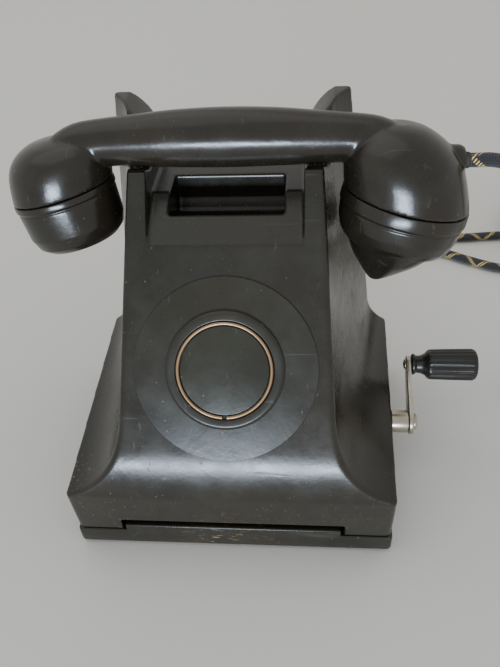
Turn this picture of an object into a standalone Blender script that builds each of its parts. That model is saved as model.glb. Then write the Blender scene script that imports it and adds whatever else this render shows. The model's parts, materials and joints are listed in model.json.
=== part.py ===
"""Magneto desk telephone in moulded Bakelite: shell, base, cradle, handset, crank and works.

All driving sizes are in millimetres and are turned into metres when a mesh is made.
Frame: +X to the right (crank side), +Y to the back, +Z up; the origin is on the surface
that the set stands on, under the middle of its base.
"""
import bmesh
import bpy
from math import acos, cos, pi, radians, sin, sqrt, tan
from mathutils import Matrix, Vector
from mathutils.geometry import interpolate_bezier

MM = 0.001
GAP = 0.3                      # air left between neighbouring pieces

# ---- driving dimensions of the case (mm) ----
FRONT_Y = -73.5                # front face of the skirt
REAR_Y = 73.5                  # rear face
SKIRT_Z = 13.5                 # lower edge of the shell
CREASE_Z = 44.0                # height of the sharp lower edge of the flanks
FRONT_HALF = 86.5              # half width at the crease, front
REAR_HALF = 91.0               # half width at the crease, rear
SKIRT_TAPER = 0.9              # how far the skirt draws in towards its lower edge
SLOPE = radians(54.0)          # slope of the front panel above the horizontal
PANEL_Y0 = -82.5               # panel plane's y at the crease height
NOSE_R = 62.0                  # rounding between the nose and the panel
NOSE_TILT = radians(82.0)      # slope of the nose where it meets the crease
COVE_FRONT = (43.0, radians(75.0))   # radius and swept angle of the flank's cove at the front
COVE_REAR = (25.0, radians(61.0))    # the same at the rear
NECK_DRAFT_FRONT = 0.0654      # how fast the neck narrows upwards along the panel
NECK_DRAFT_REAR = 0.117        # the same at the rear edge
NECK_WAIST = 3.2               # how far the neck's flanks are hollowed between front and rear
EDGE_CHAMFER = 3.0             # chamfer down the sides of the panel
WALL = 3.5
EAR_TOP_Z = 201.2
POST_TOP_Z = 182.4
POST_INNER_X = 38.7

# ---- cradle, finger recess and handset rest ----
HANDLE_Y = 34.0
HANDLE_Z = 192.6
SADDLE_R = 14.6
SADDLE_CENTRE_Z = 192.2
RECESS_FRONT = (-2.7, 153.8)   # y, z of the recess's lower edge in the panel
RECESS_LIP = (12.0, 162.3)     # y, z of the finger pocket's front lip
RECESS_BACK_Z = 168.5
POCKET_HALF = 29.0
POCKET_Y = (12.5, 41.0)
POCKET_FLOOR_Z = 146.0

# ---- dummy dial ----
DIAL_Z = 104.3
DIAL_R = 46.3
DIAL_STEP = 1.0
BOSS_R = 29.8
BOSS_STEP = 2.4
RING_R = (22.5, 24.3)

# ---- plinth ----
PLINTH_Z = 1.5
PLINTH_TOP_Z = 13.2
PLINTH_PROUD = 0.9
PLINTH_FLOOR = 4.5
TONGUE_HALF = 58.8
TONGUE_TOP_Z = 18.0
NOTCH_HALF = 60.6
NOTCH_TOP_Z = 22.0
PLATE_Z = (10.0, 11.2)         # steel chassis plate

# ---- magneto and crank ----
CRANK_Y = -8.4
CRANK_Z = 34.0
CRANK_SHAFT_R = 3.0
BUSH_OUT_X = 98.6
BUSH_R = 6.6
GEAR_TEETH = 48
PINION_TEETH = 10
GEAR_MODULE = 0.75
MESH_SLACK = 0.35
GEAR_X = (57.0, 61.0)
ARM_X = (99.0, 101.4)
ARM_ANGLE = radians(29.0)
ARM_LENGTH = 34.8
GRIP_X = (102.0, 140.0)
MAGNETO_X = (-2.0, 54.0)

# ---- ringer ----
GONG_X = -60.0
GONG_Y = (-7.0, 39.0)
GONG_R = 18.0
RINGER_Y = 16.0
RINGER_PIVOT_X = -36.0

# ---- handset ----
HANDSET_PITCH = radians(-11.0) # the caps hang a little forward
CAP_LEAN = radians(13.0)       # each cap's axis leans in towards the middle

CORD_D = 7.0


# ---------------------------------------------------------------- helpers
def clear_scene():
    for obj in list(bpy.data.objects):
        bpy.data.objects.remove(obj, do_unlink=True)


def finish(name, colour, roughness, metallic=0.0):
    """One Principled material."""
    mat = bpy.data.materials.new(name)
    mat.use_nodes = True
    shader = mat.node_tree.nodes["Principled BSDF"]
    shader.inputs["Base Color"].default_value = (*colour, 1.0)
    shader.inputs["Roughness"].default_value = roughness
    shader.inputs["Metallic"].default_value = metallic
    mat.diffuse_color = (*colour, 1.0)
    return mat


def add(name, bm, mat, smooth=True):
    """Turn a bmesh in millimetres into a named object in metres."""
    bmesh.ops.remove_doubles(bm, verts=bm.verts, dist=1e-4)
    bmesh.ops.recalc_face_normals(bm, faces=bm.faces)
    bmesh.ops.scale(bm, vec=(MM, MM, MM), verts=bm.verts)
    mesh = bpy.data.meshes.new(name)
    bm.to_mesh(mesh)
    bm.free()
    obj = bpy.data.objects.new(name, mesh)
    bpy.context.scene.collection.objects.link(obj)
    if mat:
        mesh.materials.append(mat)
    if smooth:
        mesh.shade_smooth()
        mesh.set_sharp_from_angle(angle=radians(35.0))
    return obj


def axis_frame(origin, direction, up=(0.0, 0.0, 1.0)):
    """Matrix whose local +Z runs along direction."""
    z = Vector(direction).normalized()
    ref = Vector(up) if abs(z.dot(Vector(up))) < 0.95 else Vector((1.0, 0.0, 0.0))
    x = ref.cross(z).normalized()
    y = z.cross(x)
    rot = Matrix((x, y, z)).transposed().to_4x4()
    return Matrix.Translation(Vector(origin)) @ rot


def lathe_bm(profile, steps=32, frame=None):
    """Solid of revolution about local Z; the profile starts and ends on the axis, or is a closed ring."""
    bm = bmesh.new()
    on_axis = profile[0][0] < 1e-6 and profile[-1][0] < 1e-6
    rings = []
    for r, z in profile:
        if r < 1e-6:
            rings.append([bm.verts.new((0.0, 0.0, z))] * steps)
        else:
            rings.append([bm.verts.new((r * cos(2 * pi * i / steps), r * sin(2 * pi * i / steps), z))
                          for i in range(steps)])
    pairs = list(zip(rings, rings[1:]))
    if not on_axis:
        pairs.append((rings[-1], rings[0]))
    for low, high in pairs:
        for i in range(steps):
            j = (i + 1) % steps
            corners = []
            for vert in (low[i], low[j], high[j], high[i]):
                if vert not in corners:
                    corners.append(vert)
            if len(corners) > 2:
                bm.faces.new(corners)
    if frame is not None:
        bm.transform(frame)
    return bm


def lathe(name, profile, mat, steps=32, frame=None):
    return add(name, lathe_bm(profile, steps, frame), mat)


def rod_bm(r, z0, z1, steps=24, frame=None, hole=0.0, chamfer=0.0):
    """Round rod or tube along local Z."""
    c = chamfer
    if hole > 0.0:
        profile = [(hole, z0), (r - c, z0), (r, z0 + c), (r, z1 - c), (r - c, z1), (hole, z1)]
    else:
        profile = [(0.0, z0), (r - c, z0), (r, z0 + c), (r, z1 - c), (r - c, z1), (0.0, z1)]
    clean = [p for i, p in enumerate(profile) if i == 0 or p != profile[i - 1]]
    return lathe_bm(clean, steps, frame)


def rod(name, r, z0, z1, mat, steps=24, frame=None, hole=0.0, chamfer=0.0):
    return add(name, rod_bm(r, z0, z1, steps, frame, hole, chamfer), mat)


def box_bm(low, high, bevel=0.0):
    bm = bmesh.new()
    bmesh.ops.create_cube(bm, size=1.0)
    size = [high[i] - low[i] for i in range(3)]
    mid = [(high[i] + low[i]) / 2 for i in range(3)]
    bmesh.ops.scale(bm, vec=size, verts=bm.verts)
    bmesh.ops.translate(bm, vec=mid, verts=bm.verts)
    if bevel > 0.0:
        bmesh.ops.bevel(bm, geom=list(bm.edges), offset=bevel, segments=1, profile=0.5,
                        affect="EDGES", material=-1)
    return bm


def box(name, low, high, mat, bevel=0.0):
    return add(name, box_bm(low, high, bevel), mat)


def prism_bm(outline, plane, span):
    """Extrude a closed outline. plane 'YZ' runs along X, 'XZ' along Y, 'XY' along Z."""
    place = {"YZ": lambda a, b, s: (s, a, b), "XZ": lambda a, b, s: (a, s, b), "XY": lambda a, b,
             s: (a, b, s)}[plane]
    bm = bmesh.new()
    near = [bm.verts.new(place(a, b, span[0])) for a, b in outline]
    far = [bm.verts.new(place(a, b, span[1])) for a, b in outline]
    bm.faces.new(near)
    bm.faces.new(far)
    for i in range(len(outline)):
        j = (i + 1) % len(outline)
        bm.faces.new((near[i], near[j], far[j], far[i]))
    return bm


def loft_bm(rings):
    """Closed solid through rings of equal point count."""
    bm = bmesh.new()
    rows = [[bm.verts.new(p) for p in ring] for ring in rings]
    bm.faces.new(rows[0])
    bm.faces.new(rows[-1])
    for low, high in zip(rows, rows[1:]):
        for i in range(len(low)):
            j = (i + 1) % len(low)
            bm.faces.new((low[i], low[j], high[j], high[i]))
    return bm


def guide(name, bm):
    """A cutting body: shown as wire, never rendered."""
    obj = add("guide_" + name, bm, None, smooth=False)
    obj.hide_render = True
    obj.display_type = "WIRE"
    return obj


def cut(obj, *cutters):
    for cutter in cutters:
        mod = obj.modifiers.new("cut_" + cutter.name, "BOOLEAN")
        mod.operation = "DIFFERENCE"
        mod.solver = "EXACT"
        mod.object = cutter


def join(obj, *others):
    for other in others:
        mod = obj.modifiers.new("join_" + other.name, "BOOLEAN")
        mod.operation = "UNION"
        mod.solver = "EXACT"
        mod.object = other


def pivot(name, at):
    empty = bpy.data.objects.new(name, None)
    empty.location = Vector(at) * MM
    empty.empty_display_size = 0.01
    bpy.context.scene.collection.objects.link(empty)
    return empty


def hang(empty, *objs):
    """Put objects under an empty on their joint's axis, with their meshes about that point."""
    for obj in objs:
        obj.data.transform(Matrix.Translation(-empty.location))
        obj.parent = empty


def arc(cx, cy, r, start, end, count):
    return [(cx + r * cos(start + (end - start) * i / count), cy + r * sin(start + (end - start) * i / count))
            for i in range(count + 1)]


# ---------------------------------------------------------------- the case's sections
def cove_half(z, half, cove, draft):
    """Half width of the flank at height z: a cove above the crease, then a drafted straight."""
    radius, sweep = cove
    neck = half - radius * (1 - cos(sweep))
    neck_z = CREASE_Z + radius * sin(sweep)
    if z >= neck_z:
        return neck - draft * (z - neck_z)
    rise = (neck_z - z) / radius
    return neck + radius * (1 - sqrt(max(0.0, 1 - rise * rise)))


def panel_y(z):
    return PANEL_Y0 + (z - CREASE_Z) / tan(SLOPE)


def front_y(z):
    """Front outline of the case: skirt, nose arc, sloping panel."""
    if z <= CREASE_Z:
        return FRONT_Y + SKIRT_TAPER * (CREASE_Z - z) / (CREASE_Z - SKIRT_Z)
    nose_top = CREASE_Z + NOSE_R * (cos(SLOPE) - cos(NOSE_TILT))
    if z >= nose_top:
        return panel_y(z)
    level = (z - CREASE_Z) / NOSE_R + cos(NOSE_TILT)
    return FRONT_Y + NOSE_R * (sin(NOSE_TILT) - sqrt(1 - level * level))


def case_ring(z, inset=0.0):
    """Plan section of the case at height z, drawn in by inset."""
    if z <= CREASE_Z:
        draw = SKIRT_TAPER * (CREASE_Z - z) / (CREASE_Z - SKIRT_Z)
        front, rear = FRONT_HALF - draw, REAR_HALF - draw
        chamfer = 1.5
    else:
        front = cove_half(z, FRONT_HALF, COVE_FRONT, NECK_DRAFT_FRONT)
        rear = cove_half(z, REAR_HALF, COVE_REAR, NECK_DRAFT_REAR)
        chamfer = min(EDGE_CHAMFER, 1.5 + (z - CREASE_Z) * 0.05)
    lean = inset / sin(SLOPE) if z > CREASE_Z else inset
    y0, y1 = front_y(z) + lean, REAR_Y - inset
    front, rear = front - inset, rear - inset
    waist_y = (y0 + y1) / 2
    waist = (front + rear) / 2 - NECK_WAIST * min(1.0, max(0.0, (z - CREASE_Z) / 50.0))
    right = [(front - chamfer, y0), (front, y0 + chamfer), (waist, waist_y), (rear, y1 - 3.0),
             (rear - 3.0, y1)]
    left = [(-x, y) for x, y in reversed(right)]
    return [(x, y, z) for x, y in right + left]


CASE_LEVELS = (SKIRT_Z, CREASE_Z, 46.0, 49.0, 53.0, 58.0, 63.0, 69.0, 76.0, 85.5, 110.0, 150.0, EAR_TOP_Z)


def side_x(y, z):
    """Outer half width of the case at depth y and height z."""
    ring = case_ring(z)
    ends = (ring[1], ring[2]) if y < ring[2][1] else (ring[2], ring[3])
    (xa, ya), (xb, yb) = ends[0][:2], ends[1][:2]
    return xa + (xb - xa) * (y - ya) / (yb - ya)


# ---------------------------------------------------------------- materials
clear_scene()
BAKELITE = finish("bakelite", (0.030, 0.027, 0.023), 0.32)
BAKELITE_DARK = finish("bakelite_dark", (0.022, 0.020, 0.018), 0.4)
BRASS = finish("brass", (0.60, 0.44, 0.22), 0.35, 1.0)
NICKEL = finish("nickel", (0.72, 0.70, 0.66), 0.2, 1.0)
STEEL = finish("steel", (0.45, 0.45, 0.46), 0.4, 1.0)
IRON = finish("magnet_iron", (0.10, 0.10, 0.11), 0.55, 0.8)
COPPER = finish("winding", (0.35, 0.12, 0.06), 0.5, 0.3)
RUBBER = finish("rubber", (0.02, 0.02, 0.02), 0.8)
TEXTILE = finish("cord_braid", (0.03, 0.03, 0.045), 0.85)
CARD = finish("card", (0.05, 0.048, 0.042), 0.5)
FIBRE = finish("fibre", (0.18, 0.07, 0.04), 0.6)


# ---------------------------------------------------------------- case
def build_case():
    """Moulded shell: sloping panel, coved flanks, posts, ears, finger pocket, hollow below."""
    shell = add("body_shell", loft_bm([case_ring(z) for z in CASE_LEVELS]), BAKELITE)
    floor_dir = Vector(RECESS_LIP) - Vector(RECESS_FRONT)
    outside = Vector(RECESS_FRONT) - floor_dir * 1.6
    recess = [tuple(outside), RECESS_LIP, (24.0, RECESS_BACK_Z), (90.0, RECESS_BACK_Z), (90.0, 220.0),
              (outside.x, 220.0)]
    recess_cut = guide("recess", prism_bm(recess, "YZ", (-POST_INNER_X, POST_INNER_X)))
    y0, y1 = POCKET_Y
    z0 = POCKET_FLOOR_Z
    pocket = [(y0, 175.0), (y0, z0 + 6.0), (y0 + 5.0, z0), (y1 - 9.0, z0), (y1 - 3.0, z0 + 3.5),
              (y1, z0 + 10.0),
              (y1, 175.0)]
    pocket_cut = guide("pocket", prism_bm(pocket, "YZ", (-POCKET_HALF, POCKET_HALF)))
    # cradle: post tops, saddle arc, then the ears' front faces
    low = acos((SADDLE_CENTRE_Z - POST_TOP_Z) / SADDLE_R)
    saddle_arc = arc(HANDLE_Y, SADDLE_CENTRE_Z, SADDLE_R, -pi / 2 - low, 0.0, 7)
    saddle = ([(-30.0, POST_TOP_Z)] + saddle_arc + [(50.4, 197.3), (57.2, 203.1), (57.2, 220.0),
                                                     (-30.0, 220.0)])
    saddle_cut = guide("saddle", prism_bm(saddle, "YZ", (-80.0, 80.0)))
    ears = []
    for side in (1, -1):
        sweep = [(20.0, 168.7), (38.8, 168.7), (38.9, 178.0), (40.8, 185.5), (43.6, 191.0), (47.0, 195.6),
                 (50.7, 199.1),
                 (55.9, 202.3), (55.9, 220.0), (20.0, 220.0)]
        ears.append(guide("ear_sweep_" + ("right" if side > 0 else "left"),
                          prism_bm([(side * x, z) for x, z in sweep], "XZ", (20.0, 90.0))))
    notch_cut = guide("notch", box_bm((-NOTCH_HALF, -90.0, 0.0), (NOTCH_HALF, -60.0, NOTCH_TOP_Z)))
    # hollow
    levels = [0.0] + [z for z in CASE_LEVELS if SKIRT_Z < z < 170.0] + [174.6]
    hollow = guide("hollow", loft_bm([[(x, y, level) for x, y, _ in case_ring(max(level, SKIRT_Z), WALL)]
                                      for level in levels]))
    down = 3.4
    over = [(outside.x - 30.0, outside.y - 30.0 * floor_dir.y / floor_dir.x - down),
            (RECESS_LIP[0], RECESS_LIP[1] - down),
            (24.0, RECESS_BACK_Z - down), (90.0, RECESS_BACK_Z - down), (90.0, 220.0),
            (outside.x - 30.0, 220.0)]
    roof = guide("recess_wall", prism_bm(over, "YZ", (-POST_INNER_X - 3.2, POST_INNER_X + 3.2)))
    tub = guide("pocket_wall", box_bm((-POCKET_HALF - 3.0, y0 - 3.2, z0 - 3.2),
                                      (POCKET_HALF + 3.0, y1 + 3.2, 200.0)))
    cut(hollow, roof, tub)
    cut(shell, recess_cut, pocket_cut, saddle_cut, *ears, notch_cut, hollow)
    # holes: dial spigot, crank bush, cord glands, cradle plungers
    normal = (0.0, -sin(SLOPE), cos(SLOPE))
    dial_at = (0.0, panel_y(DIAL_Z), DIAL_Z)
    dial_hole = guide("dial_hole", rod_bm(20.0, -12.0, 6.0, 32, axis_frame(dial_at, normal)))
    bush_hole = guide("bush_hole", rod_bm(BUSH_R - 1.1, 70.0, 110.0, 20,
                                          axis_frame((0.0, CRANK_Y, CRANK_Z), (1.0, 0.0, 0.0))))
    holes = [dial_hole, bush_hole]
    for name, x in GLANDS.items():
        holes.append(guide(name + "_hole", rod_bm(5.3, 60.0, 90.0, 20,
                                                  axis_frame((x, 0.0, GLAND_Z), (0.0, 1.0, 0.0)))))
    for side in (1, -1):
        holes.append(guide("plunger_hole_" + ("right" if side > 0 else "left"),
                           rod_bm(PLUNGER_R + 0.3, 165.0, 200.0, 16,
                                  Matrix.Translation((side * PLUNGER_X, HANDLE_Y, 0.0)))))
    cut(shell, *holes)
    return shell


GLANDS = {"handset_cord_gland": 44.0, "line_cord_gland": 18.0}
GLAND_Z = 26.0
PLUNGER_X = 46.0
PLUNGER_R = 2.6
FOOT_AT = [(sx * 66.0, sy * 54.0) for sx in (1, -1) for sy in (1, -1)]
SCREW_AT = [(sx * 74.0, sy * 44.0) for sx in (1, -1) for sy in (1, -1)]


def build_plinth():
    """Tray under the shell with a raised front tongue, plate bosses and foot pockets."""
    def ring(z, out):
        base = case_ring(SKIRT_Z)
        grown = []
        for x, y, _ in base:
            grown.append((x + (out if x > 0 else -out), y + (out if y > 0 else -out), z))
        return grown
    rim = PLINTH_PROUD
    plinth = add("plinth", loft_bm([ring(PLINTH_Z, rim - 1.2), ring(PLINTH_Z + 1.2, rim),
                                    ring(PLINTH_TOP_Z - 1.0, rim),
                                    ring(PLINTH_TOP_Z, rim - 1.0)]), BAKELITE)
    floor_z = PLINTH_Z + PLINTH_FLOOR
    well = guide("plinth_well", loft_bm([ring(floor_z, -4.2), ring(30.0, -4.2)]))
    cut(plinth, well)
    tongue = guide("tongue", box_bm((-TONGUE_HALF, FRONT_Y + 0.2, 8.0),
                                    (TONGUE_HALF, FRONT_Y + 4.6, TONGUE_TOP_Z), 0.6))
    posts = []
    for i, (x, y) in enumerate(SCREW_AT):
        posts.append(guide(f"boss_{i}", rod_bm(4.5, floor_z - 1.0, PLATE_Z[0] - GAP, 16,
                                               Matrix.Translation((x, y, 0.0)))))
    join(plinth, tongue, *posts)
    drills = []
    for i, (x, y) in enumerate(SCREW_AT):
        drills.append(guide(f"boss_drill_{i}", rod_bm(1.7, 4.5, 20.0, 12, Matrix.Translation((x, y, 0.0)))))
    for i, (x, y) in enumerate(FOOT_AT):
        drills.append(guide(f"foot_pocket_{i}", rod_bm(7.6, 0.0, 3.8, 20, Matrix.Translation((x, y, 0.0)))))
    cut(plinth, *drills)
    for i, (x, y) in enumerate(FOOT_AT):
        rod(f"foot_{i + 1}", 7.2, 0.0, 3.5, RUBBER, 20, Matrix.Translation((x, y, 0.0)), chamfer=0.5)


def build_chassis():
    """Steel plate that carries the works, screwed down on the plinth's bosses."""
    plate = box("chassis_plate", (-80.0, -62.0, PLATE_Z[0]), (80.0, 62.0, PLATE_Z[1]), STEEL)
    drills = [guide(f"plate_drill_{i}", rod_bm(2.0, 5.0, 20.0, 12, Matrix.Translation((x, y, 0.0))))
              for i, (x, y) in enumerate(SCREW_AT)]
    cut(plate, *drills)
    for i, (x, y) in enumerate(SCREW_AT):
        top = PLATE_Z[1] + GAP
        profile = [(0.0, 5.0), (1.4, 5.0), (1.4, top), (3.2, top), (3.2, top + 1.0), (2.2, top + 1.8),
                   (0.0, top + 2.0)]
        lathe(f"chassis_screw_{i + 1}", profile, STEEL, 12, Matrix.Translation((x, y, 0.0)))


# ---------------------------------------------------------------- dummy dial
def build_dial():
    """Stepped blank in place of a dial: flange, boss with a snap ring, card, clamp behind the panel."""
    frame = axis_frame((0.0, panel_y(DIAL_Z), DIAL_Z), (0.0, -sin(SLOPE), cos(SLOPE)))
    flange = [(0.0, -8.0), (6.0, -8.0), (19.6, -8.0), (19.6, GAP), (DIAL_R - 0.4, GAP), (DIAL_R, GAP + 0.4),
              (DIAL_R, DIAL_STEP - 0.2), (DIAL_R - 0.5, DIAL_STEP), (0.0, DIAL_STEP)]
    lathe("dial_flange", flange, BAKELITE, 56, frame)
    top = DIAL_STEP + BOSS_STEP
    inner, outer = RING_R[0] - GAP, RING_R[1] + GAP
    boss = [(0.0, DIAL_STEP + GAP), (BOSS_R, DIAL_STEP + GAP), (BOSS_R, top - 1.4), (BOSS_R - 0.5, top - 0.6),
            (BOSS_R - 1.6, top), (outer, top), (outer, top - 1.3), (0.0, top - 1.3)]
    lathe("dial_boss", boss, BAKELITE, 48, frame)
    card = [(0.0, top - 1.0), (inner, top - 1.0), (inner, top - 0.5), (inner - 0.5, top - 0.1),
            (0.0, top - 0.1)]
    lathe("dial_card", card, CARD, 40, frame)
    # snap ring: round wire with an open end at the bottom
    bm = bmesh.new()
    mid = (RING_R[0] + RING_R[1]) / 2
    gap_half = radians(3.0)
    rows = []
    steps, sides = 44, 6
    for i in range(steps + 1):
        a = -pi / 2 + gap_half + (2 * pi - 2 * gap_half) * i / steps
        wire = (RING_R[1] - RING_R[0]) / 2
        rows.append([bm.verts.new(((mid + wire * cos(2 * pi * k / sides)) * cos(a),
                                   (mid + wire * cos(2 * pi * k / sides)) * sin(a),
                                   top + 0.1 + wire * sin(2 * pi * k / sides))) for k in range(sides)])
    for low, high in zip(rows, rows[1:]):
        for k in range(sides):
            m = (k + 1) % sides
            bm.faces.new((low[k], low[m], high[m], high[k]))
    bm.faces.new(rows[0])
    bm.faces.new(rows[-1])
    bm.transform(frame)
    add("snap_ring", bm, BRASS)
    clamp = box_bm((-27.0, -6.0, -10.6), (27.0, 6.0, -9.0), 0.4)
    clamp.transform(frame)
    add("dial_clamp", clamp, STEEL)


# ---------------------------------------------------------------- cradle switch
def build_switch():
    """Two plungers in the saddles on one yoke, which works a lever and a contact pile."""
    # the yoke is a flat U behind the finger pocket's tub
    x, r = PLUNGER_X, PLUNGER_R
    tip_z = SADDLE_CENTRE_Z - SADDLE_R + 0.2
    yoke = add("cradle_plungers", rod_bm(r, 137.0, tip_z, 14, Matrix.Translation((x, HANDLE_Y, 0.0)),
                                         chamfer=0.4), STEEL)
    left = guide("plunger_left", rod_bm(r, 137.0, tip_z, 14, Matrix.Translation((-x, HANDLE_Y, 0.0)),
                                        chamfer=0.4))
    bridge = guide("plunger_bridge", box_bm((-x - 4.0, HANDLE_Y - 4.0, 134.6),
                                            (x + 4.0, HANDLE_Y + 4.0, 138.2), 0.5))
    join(yoke, left, bridge)
    hang(pivot("cradle_switch_axis", (0.0, HANDLE_Y, 136.4)), yoke)
    bracket = box_bm((-12.0, 60.0, PLATE_Z[1] + GAP), (12.0, 62.0, 134.0), 0.3)
    add("switch_bracket", bracket, STEEL)
    for i, z in enumerate((122.0, 126.0)):
        box(f"switch_spring_{i + 1}", (-3.5, 40.0, z), (3.5, 59.6, z + 0.6), BRASS)
    lever = prism_bm([(59.6, 130.6), (57.0, 129.2), (34.0, 131.2), (30.5, 133.2), (32.0, 134.2),
                      (57.0, 133.6),
                      (59.6, 132.2)], "YZ", (-5.0, 5.0))
    lever_obj = add("switch_lever", lever, STEEL)
    hang(pivot("switch_lever_axis", (0.0, 57.5, 131.6)), lever_obj)


# ---------------------------------------------------------------- magneto
def gear_bm(teeth, width, frame, hole):
    """Spur gear with straight-sided, slightly slim teeth."""
    pitch_r = teeth * GEAR_MODULE / 2
    root, tip = pitch_r - 1.15 * GEAR_MODULE, pitch_r + 0.85 * GEAR_MODULE
    bm = bmesh.new()
    outline = []
    for i in range(teeth):
        mid = 2 * pi * i / teeth
        half = pi / teeth
        for r, share in ((root, -0.66), (tip, -0.24), (tip, 0.24), (root, 0.66)):
            outline.append((r, mid + half * share))
    rows = []
    for x in width:
        outer = [bm.verts.new((r * cos(a), r * sin(a), x)) for r, a in outline]
        inner = [bm.verts.new((hole * cos(a), hole * sin(a), x)) for _, a in outline]
        rows.append((outer, inner))
    count = len(outline)
    for i in range(count):
        j = (i + 1) % count
        (o0, i0), (o1, i1) = rows
        bm.faces.new((o0[i], o0[j], o1[j], o1[i]))
        bm.faces.new((i0[i], i0[j], i1[j], i1[i]))
        bm.faces.new((o0[i], o0[j], i0[j], i0[i]))
        bm.faces.new((o1[i], o1[j], i1[j], i1[i]))
    bm.transform(frame)
    return bm


def x_axis(y, z, turn=0.0):
    """Frame whose local Z lies along +X, turned about it."""
    rot = Matrix(((0, 0, 1, 0), (1, 0, 0, 0), (0, 1, 0, 0), (0, 0, 0, 1)))
    return Matrix.Translation((0.0, y, z)) @ rot @ Matrix.Rotation(turn, 4, "Z")


MESH_DISTANCE = (GEAR_TEETH + PINION_TEETH) * GEAR_MODULE / 2 + MESH_SLACK
ARMATURE_Y = CRANK_Y + MESH_DISTANCE


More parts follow.
